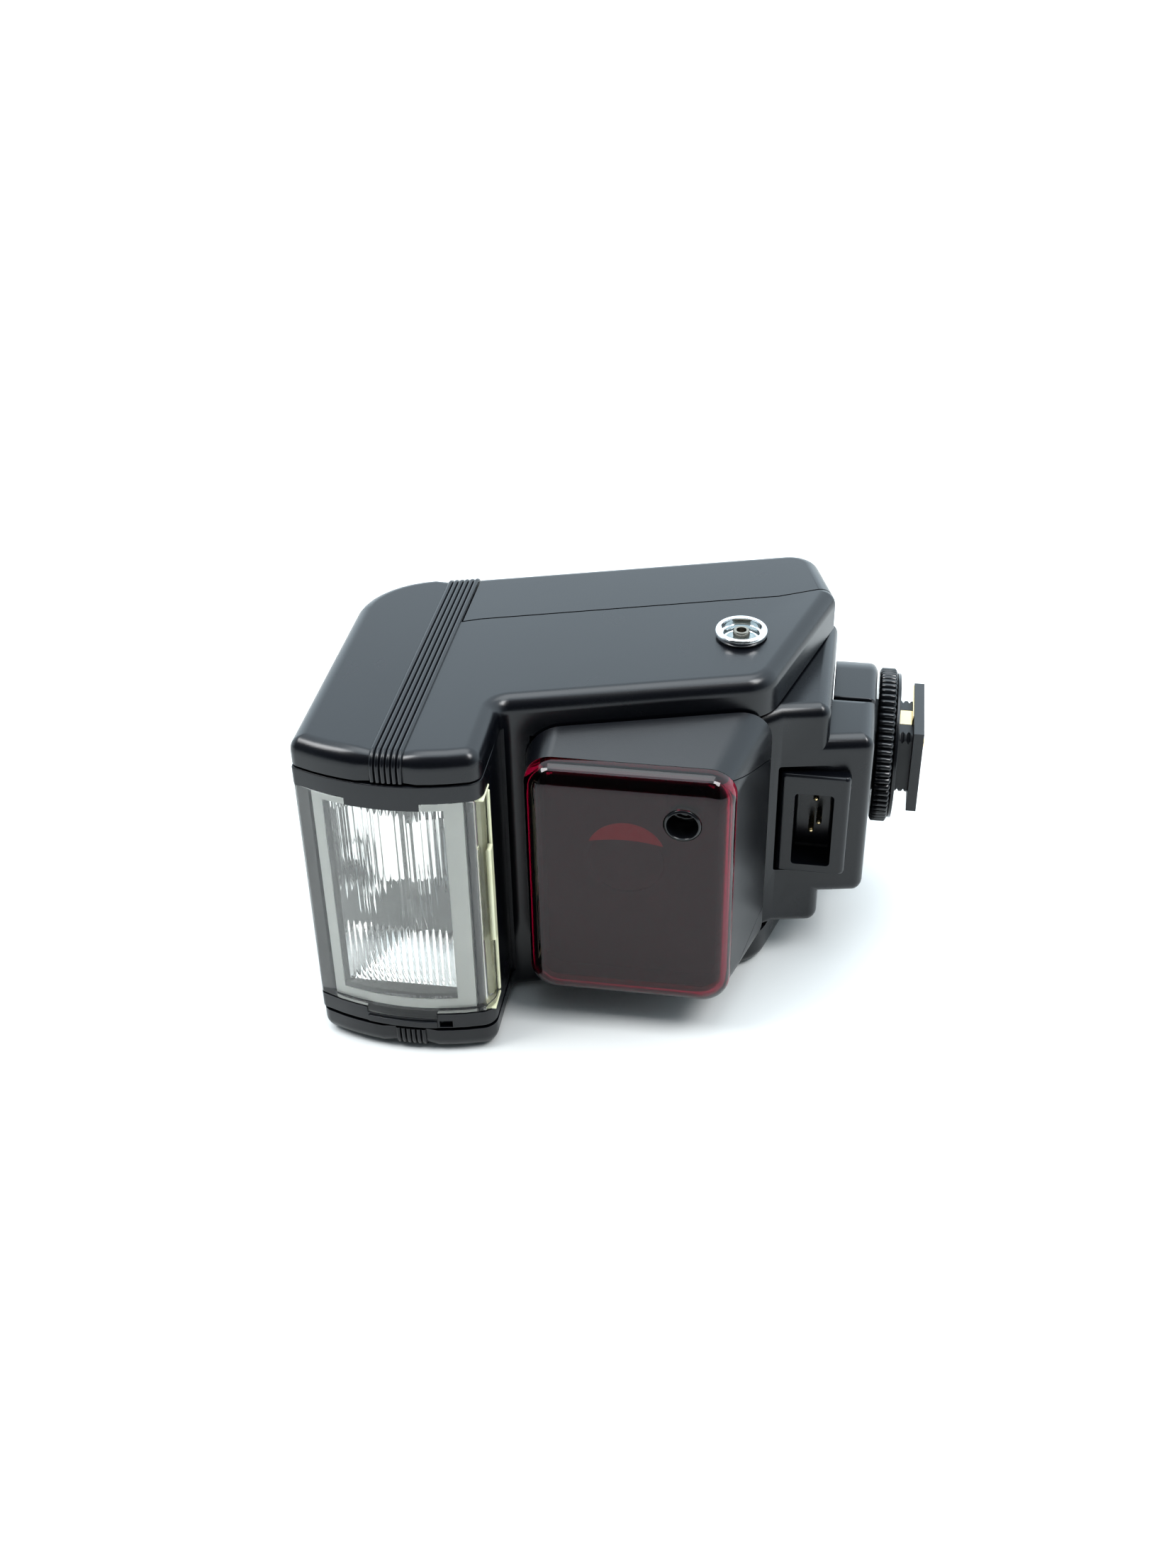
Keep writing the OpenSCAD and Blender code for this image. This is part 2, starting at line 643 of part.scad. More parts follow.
// ---- hot-shoe foot ----
module stem_section(g) {
    intersection() {
        circle(r = thread_r + g);
        square(2 * (stem_half + g), center = true);
    }
}
module shoe_foot() {
    color([0.13, 0.13, 0.14]) difference() {
        union() {
            slab([-foot_w / 2, -foot_w / 2, 0], [foot_w / 2, foot_w / 2, foot_t]);
            translate([0, 0, foot_t - eps]) linear_extrude(base_z + 2) stem_section(0);
            slab([-12, -8, base_z + wall + 0.05], [12, 5.5, stem_bolt_z + 0.4]);
        }
        // thread grooves on the corners of the stem
        for (i = [0:5]) translate([0, 0, foot_t + 0.8 + i * thread_pitch]) rotate_extrude($fn = 48)
            polygon([[thread_r + 0.1, -0.4], [thread_r + 0.1, 0.4], [thread_r - 0.5, 0]]);
        slab([stem_half - 0.3, -2.6, foot_t], [stem_half + 1, 2.6, washer_z[0]]);
        for (p = pin_xy) translate([p[0], p[1], -1]) cylinder(r = pin_r + 0.05, h = 10);
        for (x = [-10, 10], y = [-6, 4]) translate([x, y, 5]) cylinder(r = 0.8, h = 20);
    }
}
module foot_screws() {
    color("silver") for (x = [-10, 10], y = [-6, 4]) translate([x, y, stem_bolt_z + 0.4]) {
        translate([0, 0, -3.4]) cylinder(r = 0.8, h = 3.4 + eps);
        difference() {
            cylinder(r = 1.5, h = 0.9);
            slab([-0.2, -1, 0.4], [0.2, 1, 1]);
        }
    }
}
module ground_spring() {
    color([0.85, 0.65, 0.3]) {
        slab([stem_half - 0.28, -2.5, foot_t], [stem_half - 0.03, 2.5, washer_z[0] - 0.05]);
        slab([stem_half - 0.28, -2.5, foot_t], [9, 2.5, foot_t + 0.25]);
        slab([stem_half + 0.05, 2.5 - eps, foot_t], [9, 9, foot_t + 0.25]);
    }
}
module contact_springs() {
    color("silver") for (p = pin_xy) translate([p[0], p[1], 5]) difference() {
        cylinder(r = 0.95, h = 4);
        translate([0, 0, -1]) cylinder(r = 0.6, h = 6);
    }
}
module contact_pins() {
    color([0.85, 0.7, 0.35]) for (p = pin_xy) translate([p[0], p[1], -0.4]) cylinder(r = pin_r, h = 5.4);
}
module clamp_washer() {
    color([0.06, 0.06, 0.07]) translate([0, 0, washer_z[0]]) linear_extrude(washer_z[1] - washer_z[0]) difference() {
        circle(r = ring_r - 0.9);
        stem_section(0.06);
    }
}
module lock_ring() {
    color([0.06, 0.06, 0.07]) translate([0, 0, ring_z[0]]) difference() {
        linear_extrude(ring_z[1] - ring_z[0]) polygon([for (i = [0:2 * knurl_n - 1])
            (i % 2 == 0 ? ring_r : ring_r - 0.6) * [cos(i * 180 / knurl_n), sin(i * 180 / knurl_n)]]);
        translate([0, 0, -1]) cylinder(r = thread_r + 0.08, h = 10);
    }
}

main_shell();
rear_cover();
tilt_chassis();
battery_door();
battery_door_pin();
battery_cells();
battery_tray();
battery_contacts();
main_capacitor();
power_board();
flash_reflector();
flash_tube();
tube_end_caps();
reflector_bracket();
trigger_coil();
carriage_frame();
clear_cover();
window_frame();
front_lens();
control_panel();
power_switch();
mode_slider();
film_speed_slider();
test_button();
ready_lamp();
sync_ring();
sync_insulator();
sync_pin();
detent_spring();
cover_screws();
hub_housing();
base_rear_cover();
af_housing();
af_lower_cover();
red_window();
sensor_barrel();
sensor_lens();
af_mask();
af_lens();
af_lamp();
af_board();
socket_bezel();
socket_pins();
hinge_tube();
detent_disc();
shoe_foot();
foot_screws();
ground_spring();
contact_springs();
contact_pins();
clamp_washer();
lock_ring();
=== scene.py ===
import json
import math

import bmesh
import bpy
from mathutils import Matrix, Vector


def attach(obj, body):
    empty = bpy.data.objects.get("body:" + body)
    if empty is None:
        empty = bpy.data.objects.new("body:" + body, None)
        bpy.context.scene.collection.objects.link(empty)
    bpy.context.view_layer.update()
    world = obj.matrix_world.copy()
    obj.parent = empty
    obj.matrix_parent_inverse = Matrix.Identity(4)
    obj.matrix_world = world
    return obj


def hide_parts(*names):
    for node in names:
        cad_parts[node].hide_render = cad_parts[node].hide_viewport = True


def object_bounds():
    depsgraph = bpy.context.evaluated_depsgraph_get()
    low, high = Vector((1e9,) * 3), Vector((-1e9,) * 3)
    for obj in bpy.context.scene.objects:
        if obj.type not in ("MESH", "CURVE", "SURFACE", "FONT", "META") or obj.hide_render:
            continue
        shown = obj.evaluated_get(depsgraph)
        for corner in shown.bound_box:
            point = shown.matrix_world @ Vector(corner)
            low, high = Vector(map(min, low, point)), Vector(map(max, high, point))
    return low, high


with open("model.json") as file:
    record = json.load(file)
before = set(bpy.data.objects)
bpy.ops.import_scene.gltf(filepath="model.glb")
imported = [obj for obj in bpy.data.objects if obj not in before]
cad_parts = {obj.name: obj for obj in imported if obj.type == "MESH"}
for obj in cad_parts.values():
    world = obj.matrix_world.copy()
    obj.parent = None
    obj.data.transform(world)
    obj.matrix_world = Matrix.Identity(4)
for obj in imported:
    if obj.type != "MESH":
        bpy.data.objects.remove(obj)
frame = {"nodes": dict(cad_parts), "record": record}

# Sizes in this script are in millimetres and become metres when a mesh is made.
# +Z is up, -Y is the front and +X is the side with the sync socket.
MM = 0.001
cad_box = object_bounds()
scene = bpy.context.scene

# ---------------------------------------------------------------- driving sizes
# tilting housing; the battery section leans back, and its depths (D) and heights (W) run along the lean
BODY_HALF_W = 34.0
LEAN = math.radians(15.4)
HINGE_Z = 33.0
BACK_D = 17.5
BOTTOM_W = -13.7
SEAM_D = -1.4
SEAM_TOP_W = 58.64
SEAM_GAP = 0.36
TAPER = 1.9
WALL = 2.0
RIBS = (89.2, 95.1)
RIB_COUNT = 6
RIB_DEPTH = 0.5
WELL_HALF_W = 26.2
WELL_BACK_D = -15.2
WELL_TOP_W = 48.5
WELL_STEP_W = 6
DOOR_OPENING = ((-26, 12, 12.1), (26, 30, 41.8))
PANEL_OPENING = ((-25.1, 12.3, 43.3), (25.1, 24, 52.9))
SYNC = (-17.1, 35.9)

# head, with its bowed front
HEAD_TOP_Z = 110.0
UNDER_Z = 76.13
BOW_R = 45.5
BOW_C = (-19.6, 92.5)
CARRIAGE_HALF_W = 28.1
CARRIAGE_BACK_Y = -46
CLEAR_HALF_W = 24.4
COVER_T = (0.06, 2.1)
COVER_BACK_Y = -56.8
LENS_HALF_W = 21.8
LENS_Z = (83.3, 104.6)
LENS_RIBS = 19
LENS_RIB_H = 0.07
TAB_Z = (86.8, 100.2)
TAB_W = 1.5
LEVER_X = -26.95
LEVER_HALF_W = 0.75
MIRROR_FRONT_Y = -59.0
MIRROR_DEPTH = 14
MIRROR_STEP_Y = -50
AXIS_Z = 93.5
MIRROR_HALF_H = 10.4

# base
HUB_HALF_W = 25.7
HUB_Z = 18.2
BASE_HALF_W = 18.5
BASE_Z = 9.8
DRUM_R = 11.6
AF_FRONT_Y = -49.7
AF_HALF_W = 25.95
AF_Z = (33.3, 71.2)
AF_BACK_D = -33.0
AF_BACK_HALF_W = 28.2
AF_BACK_W = (4.4, 49.4)
AF_WALL = 1.8
SENSOR = (16.9, 42.4)
AF_LENS = (2.0, 53.4)
RECESS_X = (-9.4, 7.3)
RECESS_Z = (16.4, 23.8)
SOCKET_PINS = ((4.6, 19.8), (-0.9, 19.0), (-2.9, 20.4))
RING_R = 15.5
RING_BORE_R = 9.28
KNURL = 64
KNURL_DEPTH = 0.62
STEM_HALF_W = 7.05


# ---------------------------------------------------------------- outlines
def arc(centre, r, a0, a1, n):
    """Points on a circle from angle a0 to a1, in degrees."""
    turns = [math.radians(a0 + (a1 - a0) * i / n) for i in range(n + 1)]
    return [(centre[0] + r * math.cos(a), centre[1] + r * math.sin(a)) for a in turns]


def leaned(d, w):
    """A point of the leaning body section, d behind the hinge and w up along it, as (y, z)."""
    return (d * math.cos(LEAN) - w * math.sin(LEAN), HINGE_Z + d * math.sin(LEAN) + w * math.cos(LEAN))


def offset(points, t):
    """Moves every edge of a counter-clockwise outline inwards by t."""
    moved = []
    for i, p in enumerate(points):
        before = Vector(p) - Vector(points[i - 1])
        after = Vector(points[(i + 1) % len(points)]) - Vector(p)
        a = Vector((-before.y, before.x)).normalized()
        b = Vector((-after.y, after.x)).normalized()
        moved.append(Vector(p) + (a + b) * (t / (1 + a.dot(b))))
    return moved


def bend(points, i):
    """Unit directions from corner i to its neighbours, and the angle turned there."""
    here = Vector(points[i])
    before = (Vector(points[i - 1]) - here).normalized()
    after = (Vector(points[(i + 1) % len(points)]) - here).normalized()
    return before, after, math.pi - before.angle(after)


LEAST_R = 0.06


def outline(corners, t=0.0, step=9):
    """Points of an outline given as (y, z, radius) corners, moved in by t.

    A round corner has a point every step degrees. How many there are never depends on t.
    """
    plain = [c[:2] for c in corners]
    spots = offset(plain, t)
    points = []
    for i, p in enumerate(spots):
        if corners[i][2] == 0:
            points.append((p.x, p.y))
            continue
        before, after, turn = bend(plain, i)
        convex = before.cross(after) < 0
        count = max(2, round(math.degrees(turn) / step))
        before, after, turn = bend(spots, i)
        r = max(LEAST_R, corners[i][2] - (t if convex else -t))
        centre = p + (before + after).normalized() * (r / math.cos(turn / 2))
        start = p + before * (r * math.tan(turn / 2)) - centre
        for k in range(count + 1):
            a = (1 if convex else -1) * turn * k / count
            spot = centre + Matrix.Rotation(a, 2) @ start
            points.append((spot.x, spot.y))
    return points


def rect(x0, x1, z0, z1, r):
    """Corners of a rounded rectangle, counter-clockwise."""
    return [(x0, z0, r), (x1, z0, r), (x1, z1, r), (x0, z1, r)]


def bow_y(z, t=0):
    """Depth of the bowed head front at height z, moved in by t."""
    return BOW_C[0] - math.sqrt((BOW_R - t) ** 2 - (z - BOW_C[1]) ** 2)


BOW_TOP = 180 - math.degrees(math.asin((HEAD_TOP_Z - BOW_C[1]) / BOW_R))
BOW_POINTS = [(y, z, 0) for y, z in arc(BOW_C, BOW_R, BOW_TOP + 6, 194, 9)]
HEAD_FRONT = [(bow_y(HEAD_TOP_Z), HEAD_TOP_Z, 2.2)] + BOW_POINTS + [(-62.2, 76.2, 3.2)]
TOP_W = (HEAD_TOP_Z - HINGE_Z - BACK_D * math.sin(LEAN)) / math.cos(LEAN)
HOUSING = (
    [leaned(-3, BOTTOM_W) + (2.5,), leaned(BACK_D, BOTTOM_W) + (6,), leaned(BACK_D, TOP_W) + (16.2,)]
    + HEAD_FRONT
    + [(-45.6, 76.1, 2.6), (-32.4, 29.2, 7.5)]
)
HEAD = [(CARRIAGE_BACK_Y, UNDER_Z, 0), (CARRIAGE_BACK_Y, HEAD_TOP_Z, 0)]
HEAD += [(bow_y(HEAD_TOP_Z), HEAD_TOP_Z, 1.1)] + HEAD_FRONT[1:]
HUB = (
    [(-27.33, HUB_Z, 2.2), (4.5, HUB_Z, 2)]
    + [(y, z, 0) for y, z in arc((0, HINGE_Z), DRUM_R, -58, 170, 26)]
    + [leaned(-15.7, 4.9) + (0,), leaned(-15.7, 47.5) + (1,), leaned(-32, 47.5) + (1,)]
    + [leaned(-32, 7) + (0,), (-29, 26.8, 0)]
)
BASE = [(-25.7, BASE_Z, 2), (-11.2, BASE_Z, 0.3), (-11.2, 24, 0), (-28.46, 24, 0)]


# ---------------------------------------------------------------- meshes
def new_object(name, verts, faces):
    """A closed mesh in the scene, with its faces turned outwards."""
    mesh = bpy.data.meshes.new(name)
    mesh.from_pydata([Vector(v) * MM for v in verts], [], faces)
    obj = bpy.data.objects.new(name, mesh)
    scene.collection.objects.link(obj)
    bm = bmesh.new()
    bm.from_mesh(mesh)
    bmesh.ops.recalc_face_normals(bm, faces=bm.faces)
    bm.to_mesh(mesh)
    bm.free()
    return obj


def skin(rings, loop=False):
    """Verts and faces of a surface through rings of points, capped at its ends unless it is a loop."""
    n = len(rings[0])
    verts = [v for ring in rings for v in ring]
    faces = []
    for k in range(len(rings) - (0 if loop else 1)):
        a = k * n
        b = (k + 1) % len(rings) * n
        faces += [(a + i, a + (i + 1) % n, b + (i + 1) % n, b + i) for i in range(n)]
    if not loop:
        faces.append(tuple(reversed(range(n))))
        faces.append(tuple(range((len(rings) - 1) * n, len(rings) * n)))
    return verts, faces


def round_over(half_w, r, steps):
    """(position, inset) pairs that round both ends of an extrusion."""
    turns = [math.radians(90 * i / steps) for i in range(steps + 1)]
    edge = [(half_w - r + r * math.sin(a), r * (1 - math.cos(a))) for a in turns]
    return [(-x, t) for x, t in reversed(edge)] + edge


def prism(name, corners, half_w, r=0.0, steps=5, centre=0.0, inside=0.0):
    """Corners in (y, z) extruded along X, with its end edges rounded. inside moves the outline in."""
    ends = round_over(half_w, r, steps) if r else [(-half_w, 0), (half_w, 0)]
    rings = [[(centre + x, y, z) for y, z in outline(corners, inside + t)] for x, t in ends]
    return new_object(name, *skin(rings))


def block(name, low, high, r=0.0):
    """A box with rounded vertical and top edges."""
    half = (high[0] - low[0]) / 2
    return prism(name, rect(low[1], high[1], low[2], high[2], r), half, r * 0.8, 3, (high[0] + low[0]) / 2)


def lean_block(name, low, high, r=0.0):
    """A block in the leaning section's own axes (x, depth, height)."""
    obj = block(name, low, high, r)
    turn = Matrix.Translation((0, 0, HINGE_Z * MM)) @ Matrix.Rotation(LEAN, 4, "X")
    obj.data.transform(turn)
    return obj


CORE_R = 0.01


def lathe(name, profile, origin, axis, sides=64):
    """A closed (along, radius) profile turned round an axis through origin. A solid's core is CORE_R thin."""
    turn = Vector((0, 0, 1)).rotation_difference(Vector(axis)).to_matrix()
    rings = []
    for k in range(sides):
        a = 2 * math.pi * k / sides
        spots = [turn @ Vector((r * math.cos(a), r * math.sin(a), s)) for s, r in profile]
        rings.append([Vector(origin) + v for v in spots])
    return new_object(name, *skin(rings, loop=True))


def turned(name, profile, place, sides=64):
    """A profile turned round an axis along Y at this (x, z) place."""
    return lathe(name, profile, (place[0], 0, place[1]), (0, 1, 0), sides)


def rod(low, high, r):
    """The profile of a plain rod."""
    return [(low, CORE_R), (low, r), (high, r), (high, CORE_R)]


def bake(obj):
    """Applies the modifiers."""
    bpy.context.view_layer.update()
    held = obj.evaluated_get(bpy.context.evaluated_depsgraph_get())
    mesh = bpy.data.meshes.new_from_object(held)
    obj.modifiers.clear()
    old = obj.data
    obj.data = mesh
    bpy.data.meshes.remove(old)


def combine(obj, other, operation):
    """One boolean step, which uses up the other object."""
    step = obj.modifiers.new("step", "BOOLEAN")
    step.operation = operation
    step.solver = "EXACT"
    step.object = other
    bake(obj)
    bpy.data.objects.remove(other)
    return obj


def cut(obj, *others):
    """Takes the others away from a mesh."""
    for other in others:
        combine(obj, other, "DIFFERENCE")
    return obj


def join(obj, *others):
    """Melts the others into a mesh."""
    for other in others:
        combine(obj, other, "UNION")
    return obj


def duplicate(obj, name):
    """A copy with a mesh of its own."""
    copy = obj.copy()
    copy.data = obj.data.copy()
    copy.name = name
    scene.collection.objects.link(copy)
    return copy


def shade_smooth(mesh, angle):
    """Smooth shading, with edges sharper than this angle left sharp."""
    for face in mesh.polygons:
        face.use_smooth = True
    mesh.set_sharp_from_angle(angle=math.radians(angle))


def soften(obj, width):
    """Breaks the sharp edges and gives smooth shading with flat faces kept flat."""
    bm = bmesh.new()
    bm.from_mesh(obj.data)
    bmesh.ops.remove_doubles(bm, verts=bm.verts, dist=0.002 * MM)
    bmesh.ops.dissolve_limit(bm, angle_limit=math.radians(0.5), verts=bm.verts, edges=bm.edges)
    bm.to_mesh(obj.data)
    bm.free()
    if width:
        edge = obj.modifiers.new("edge", "BEVEL")
        edge.width = width * MM
        edge.segments = 2
        edge.limit_method = "ANGLE"
        edge.angle_limit = math.radians(30)
        edge.use_clamp_overlap = True
        edge.miter_outer = "MITER_ARC"
        bake(obj)
    shade_smooth(obj.data, 48)
    shade = obj.modifiers.new("shade", "WEIGHTED_NORMAL")
    shade.keep_sharp = True
    bake(obj)
    return obj


# ---------------------------------------------------------------- materials
def shader(name, **values):
    """A material whose Principled shader has these constant values."""
    material = bpy.data.materials.new(name)
    material.use_nodes = True
    bsdf = material.node_tree.nodes["Principled BSDF"]
    for key, value in values.items():
        bsdf.inputs[key.replace("_", " ")].default_value = value
    return material, material.node_tree, bsdf


def noise(tree, size, detail=2.0, stretch=(1, 1, 1)):
    """A noise texture whose features are about size millimetres across."""
    place = tree.nodes.new("ShaderNodeTexCoord")
    scale = tree.nodes.new("ShaderNodeMapping")
    scale.inputs["Scale"].default_value = stretch
    grain = tree.nodes.new("ShaderNodeTexNoise")
    grain.inputs["Scale"].default_value = 1 / (size * MM)
    grain.inputs["Detail"].default_value = detail
    tree.links.new(place.outputs["Object"], scale.inputs["Vector"])
    tree.links.new(scale.outputs["Vector"], grain.inputs["Vector"])
    return grain.outputs["Fac"]


def remap(tree, source, low, high):
    """Spreads the middle of a noise over the range from low to high."""
    scale = tree.nodes.new("ShaderNodeMapRange")
    for name, value in (("From Min", 0.3), ("From Max", 0.7), ("To Min", low), ("To Max", high)):
        scale.inputs[name].default_value = value
    tree.links.new(source, scale.inputs["Value"])
    return scale.outputs["Result"]


def tint(tree, bsdf, low, high, source):
    """Mixes two colours by a texture into the base colour."""
    mix = tree.nodes.new("ShaderNodeMix")
    mix.data_type = "RGBA"
    mix.inputs[6].default_value = tuple(low) + (1,)
    mix.inputs[7].default_value = tuple(high) + (1,)
    tree.links.new(source, mix.inputs[0])
    tree.links.new(mix.outputs[2], bsdf.inputs["Base Color"])


def relief(tree, bsdf, source, height):
    """Bumps of this height in millimetres."""
    bump = tree.nodes.new("ShaderNodeBump")
    bump.inputs["Distance"].default_value = height * MM
    bump.inputs["Strength"].default_value = 1.0
    tree.links.new(source, bump.inputs["Height"])
    tree.links.new(bump.outputs["Normal"], bsdf.inputs["Normal"])


def moulded(name, low, high, rough, grain, height, **values):
    """Moulded plastic: mottled colour, uneven gloss and a fine spark-eroded grain."""
    material, tree, bsdf = shader(name, **values)
    tint(tree, bsdf, low, high, noise(tree, 9, 4))
    tree.links.new(remap(tree, noise(tree, 14, 3), *rough), bsdf.inputs["Roughness"])
    relief(tree, bsdf, noise(tree, grain, 1), height)
    return material


def metal(name, low, high, rough, stretch=(1, 1, 1), size=0.4, height=0.004):
    """Metal with fine scratches of this size, stretched along the piece."""
    material, tree, bsdf = shader(name, Metallic=1.0)
    tint(tree, bsdf, low, high, noise(tree, 4, 3))
    scratches = noise(tree, size, 3, stretch)
    tree.links.new(remap(tree, scratches, *rough), bsdf.inputs["Roughness"])
    relief(tree, bsdf, scratches, height)
    return material


def clear(name, colour, grain=6.0, height=0.0015):
    """Transparent plastic or glass with slight moulding ripples."""
    material, tree, bsdf = shader(name, Transmission_Weight=1.0, IOR=1.46, Roughness=0.0)
    tint(tree, bsdf, colour, [c * 0.99 for c in colour], noise(tree, 5, 2))
    relief(tree, bsdf, noise(tree, grain, 1), height)
    return material


# two colours, the range of roughness, then the size and the height of the grain
MOULDED = {
    "black_shell": ((0.0022, 0.0027, 0.0042), (0.003, 0.0036, 0.0056), (0.24, 0.28), 0.16, 0.0022),
    "grey_plastic": ((0.02, 0.02, 0.021), (0.03, 0.03, 0.032), (0.4, 0.55), 0.2, 0.006),
    "cell_jacket": ((0.5, 0.36, 0.08), (0.6, 0.44, 0.12), (0.2, 0.3), 0.6, 0.003),
    "capacitor_sleeve": ((0.02, 0.03, 0.12), (0.03, 0.04, 0.17), (0.2, 0.3), 0.6, 0.003),
    "circuit_board": ((0.03, 0.16, 0.06), (0.05, 0.22, 0.08), (0.3, 0.5), 0.3, 0.004),
    "white_silicone": ((0.7, 0.7, 0.68), (0.8, 0.8, 0.78), (0.5, 0.6), 0.4, 0.004),
    "red_plastic": ((0.42, 0.012, 0.02), (0.55, 0.02, 0.03), (0.12, 0.2), 1.0, 0.003),
    "amber_plastic": ((0.75, 0.25, 0.03), (0.85, 0.32, 0.05), (0.1, 0.18), 1.0, 0.003),
    "blue_insulator": ((0.16, 0.21, 0.23), (0.24, 0.3, 0.32), (0.3, 0.4), 0.3, 0.003),
    "foot_plastic": ((0.012, 0.013, 0.015), (0.018, 0.019, 0.021), (0.32, 0.42), 0.16, 0.004),
    "gloss_black": ((0.004, 0.0043, 0.0055), (0.006, 0.0065, 0.008), (0.16, 0.24), 0.2, 0.003),
}
# two colours, the range of roughness, then the stretch, the size and the height of the scratches
METALS = {
    "steel": ((0.5, 0.5, 0.5), (0.66, 0.66, 0.65), (0.22, 0.42), (1, 1, 6)),
    "mirror_metal": ((0.95, 0.96, 0.965), (0.98, 0.98, 0.985), (0.03, 0.07), (1, 1, 1), 2, 0.002),
    "copper_winding": ((0.5, 0.22, 0.1), (0.62, 0.3, 0.14), (0.2, 0.35), (1, 1, 12)),
    "chrome": ((0.82, 0.83, 0.84), (0.9, 0.9, 0.9), (0.05, 0.16), (1, 1, 1), 0.8, 0.003),
    "brass": ((0.78, 0.6, 0.32), (0.88, 0.72, 0.45), (0.14, 0.28), (1, 1, 1), 0.5),
}
MATERIALS = {name: moulded(name, *look) for name, look in MOULDED.items()}
MATERIALS.update({name: metal(name, *look) for name, look in METALS.items()})
MATERIALS["silver_plastic"] = moulded(
    "silver_plastic", (0.5, 0.5, 0.5), (0.6, 0.6, 0.6), (0.25, 0.35), 0.2, 0.004, Metallic=0.6)
MATERIALS["clear_glass"] = clear("clear_glass", (1.0, 1.0, 1.0))
MATERIALS["clear_plastic"] = clear("clear_plastic", (0.995, 0.995, 0.97))
MATERIALS["dark_red_window"] = clear("dark_red_window", (0.17, 0.0015, 0.018), 14, 0.002)
AF_BLACK = moulded("af_black", (0.0026, 0.0031, 0.0046), (0.0036, 0.0042, 0.0062), (0.28, 0.32), 0.22, 0.009)
FROSTED = moulded("frosted_grey", (0.56, 0.57, 0.55), (0.64, 0.65, 0.63), (0.3, 0.4), 0.5, 0.003)
# yellowed clear plastic, partly painted light: its bright white-yellow colour stands for the light that the
# clear edge carries
AGED_EDGE_PAINTED_LIGHT = moulded(
    "aged_edge_painted_light", (0.86, 0.86, 0.56), (0.95, 0.95, 0.74), (0.1, 0.2), 2.0, 0.003,
    Transmission_Weight=0.25, IOR=1.49)
# painted highlight: a red that glows by its own emission, for the lit crescent of the focus lens
GLOWING_RED_HIGHLIGHT = moulded(
    "painted_highlight_red", (0.7, 0.02, 0.07), (0.8, 0.03, 0.09), (0.25, 0.35), 1.0, 0.003,
    Emission_Color=(1, 0.02, 0.2, 1), Emission_Strength=0.35)
WORN_NICKEL = metal("worn_nickel", (0.2, 0.185, 0.16), (0.34, 0.32, 0.28), (0.22, 0.4), (1, 1, 1), 0.6)
INNER_BLACK = moulded("inner_black", (0.006, 0.006, 0.006), (0.01, 0.01, 0.01), (0.5, 0.6), 0.3, 0.004)


def dress(obj, material):
    """Gives a mesh this one material."""
    obj.data.materials.clear()
    obj.data.materials.append(material)


SLOT_OF = {part["node"]: part["material_slot"] for part in frame["record"]["subparts"]}
for node_name, node_object in frame["nodes"].items():
    dress(node_object, MATERIALS[SLOT_OF[node_name]])


def piece(obj, body, *nodes, slot=None, material=None):
    """Hands a finished mesh to its body, in place of these CAD nodes."""
    slot = slot or SLOT_OF[nodes[0]]
    dress(obj, material or MATERIALS[slot])
    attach(obj, body)
    if nodes:
        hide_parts(*nodes)
    return obj


def refined(node, body, width, material=None):
    """A CAD node's own shape with its edges broken."""
    obj = duplicate(frame["nodes"][node], node + "_refined")
    obj.parent = None
    soften(obj, width)
    return piece(obj, body, node, material=material)


# ---------------------------------------------------------------- tilting housing
def ribbed_housing():
    """The whole tilting housing as one rounded solid, ribbed round the head and tapered to the back."""
    obj = prism("housing", HOUSING, BODY_HALF_W, 3.0, 7)
    pitch = (RIBS[1] - RIBS[0]) / RIB_COUNT
    bm = bmesh.new()
    bm.from_mesh(obj.data)
    per_rib = 8
    for k in range(RIB_COUNT * per_rib + 1):
        z = (RIBS[0] + pitch * k / per_rib) * MM
        everything = bm.verts[:] + bm.edges[:] + bm.faces[:]
        bmesh.ops.bisect_plane(bm, geom=everything, plane_co=(0, 0, z), plane_no=(0, 0, 1))
    bm.normal_update()
    moves = []
    for vert in bm.verts:
        z = vert.co.z / MM
        if RIBS[0] - 0.001 <= z <= RIBS[1] + 0.001:
            wave = abs(math.sin(math.pi * (z - RIBS[0]) / pitch))
            depth = RIB_DEPTH * (1 - math.sqrt(wave)) if wave > 1e-4 else RIB_DEPTH
            out = Vector((vert.normal.x, vert.normal.y, 0)).normalized()
            moves.append((vert, out * (-depth * MM)))
    for vert, move in moves:
        vert.co += move
    taper = TAPER / BODY_HALF_W
    for vert in bm.verts:
        depth = vert.co.y / MM * math.cos(LEAN) + (vert.co.z / MM - HINGE_Z) * math.sin(LEAN)
        if depth > SEAM_D:
            vert.co.x *= 1 - taper * min(1, (depth - SEAM_D) / (BACK_D - SEAM_D))
    bm.to_mesh(obj.data)
    bm.free()
    return obj


def rear_zone(grow):
    """The wedge of the housing that belongs to the rear cover, with its seams moved out by grow."""
    top = RIBS[0] + grow
    front = SEAM_D - grow
    zone = [leaned(front, -30), (60, -10), (60, top), leaned(front, SEAM_TOP_W + grow)]
    return prism("rear_zone", [p + (0,) for p in zone], 50)


def hub_well():
    """The room for the hub between the two cheeks, which goes right through at the bottom."""
    corner = (-WELL_HALF_W, -60, -30)
    low = lean_block("well_low", corner, (WELL_HALF_W, 30, WELL_STEP_W))
    return join(low, lean_block("well_high", corner, (WELL_HALF_W, WELL_BACK_D, WELL_TOP_W)))


def hollow():
    """The inside of the housing."""
    return prism("hollow", HOUSING, BODY_HALF_W - WALL - TAPER, 1.0, 3, inside=WALL)


housing = ribbed_housing()
cut(housing, lean_block("door_gap", *DOOR_OPENING))
cut(housing, lean_block("panel_gap", *PANEL_OPENING))
cut(housing, hub_well(), hollow())

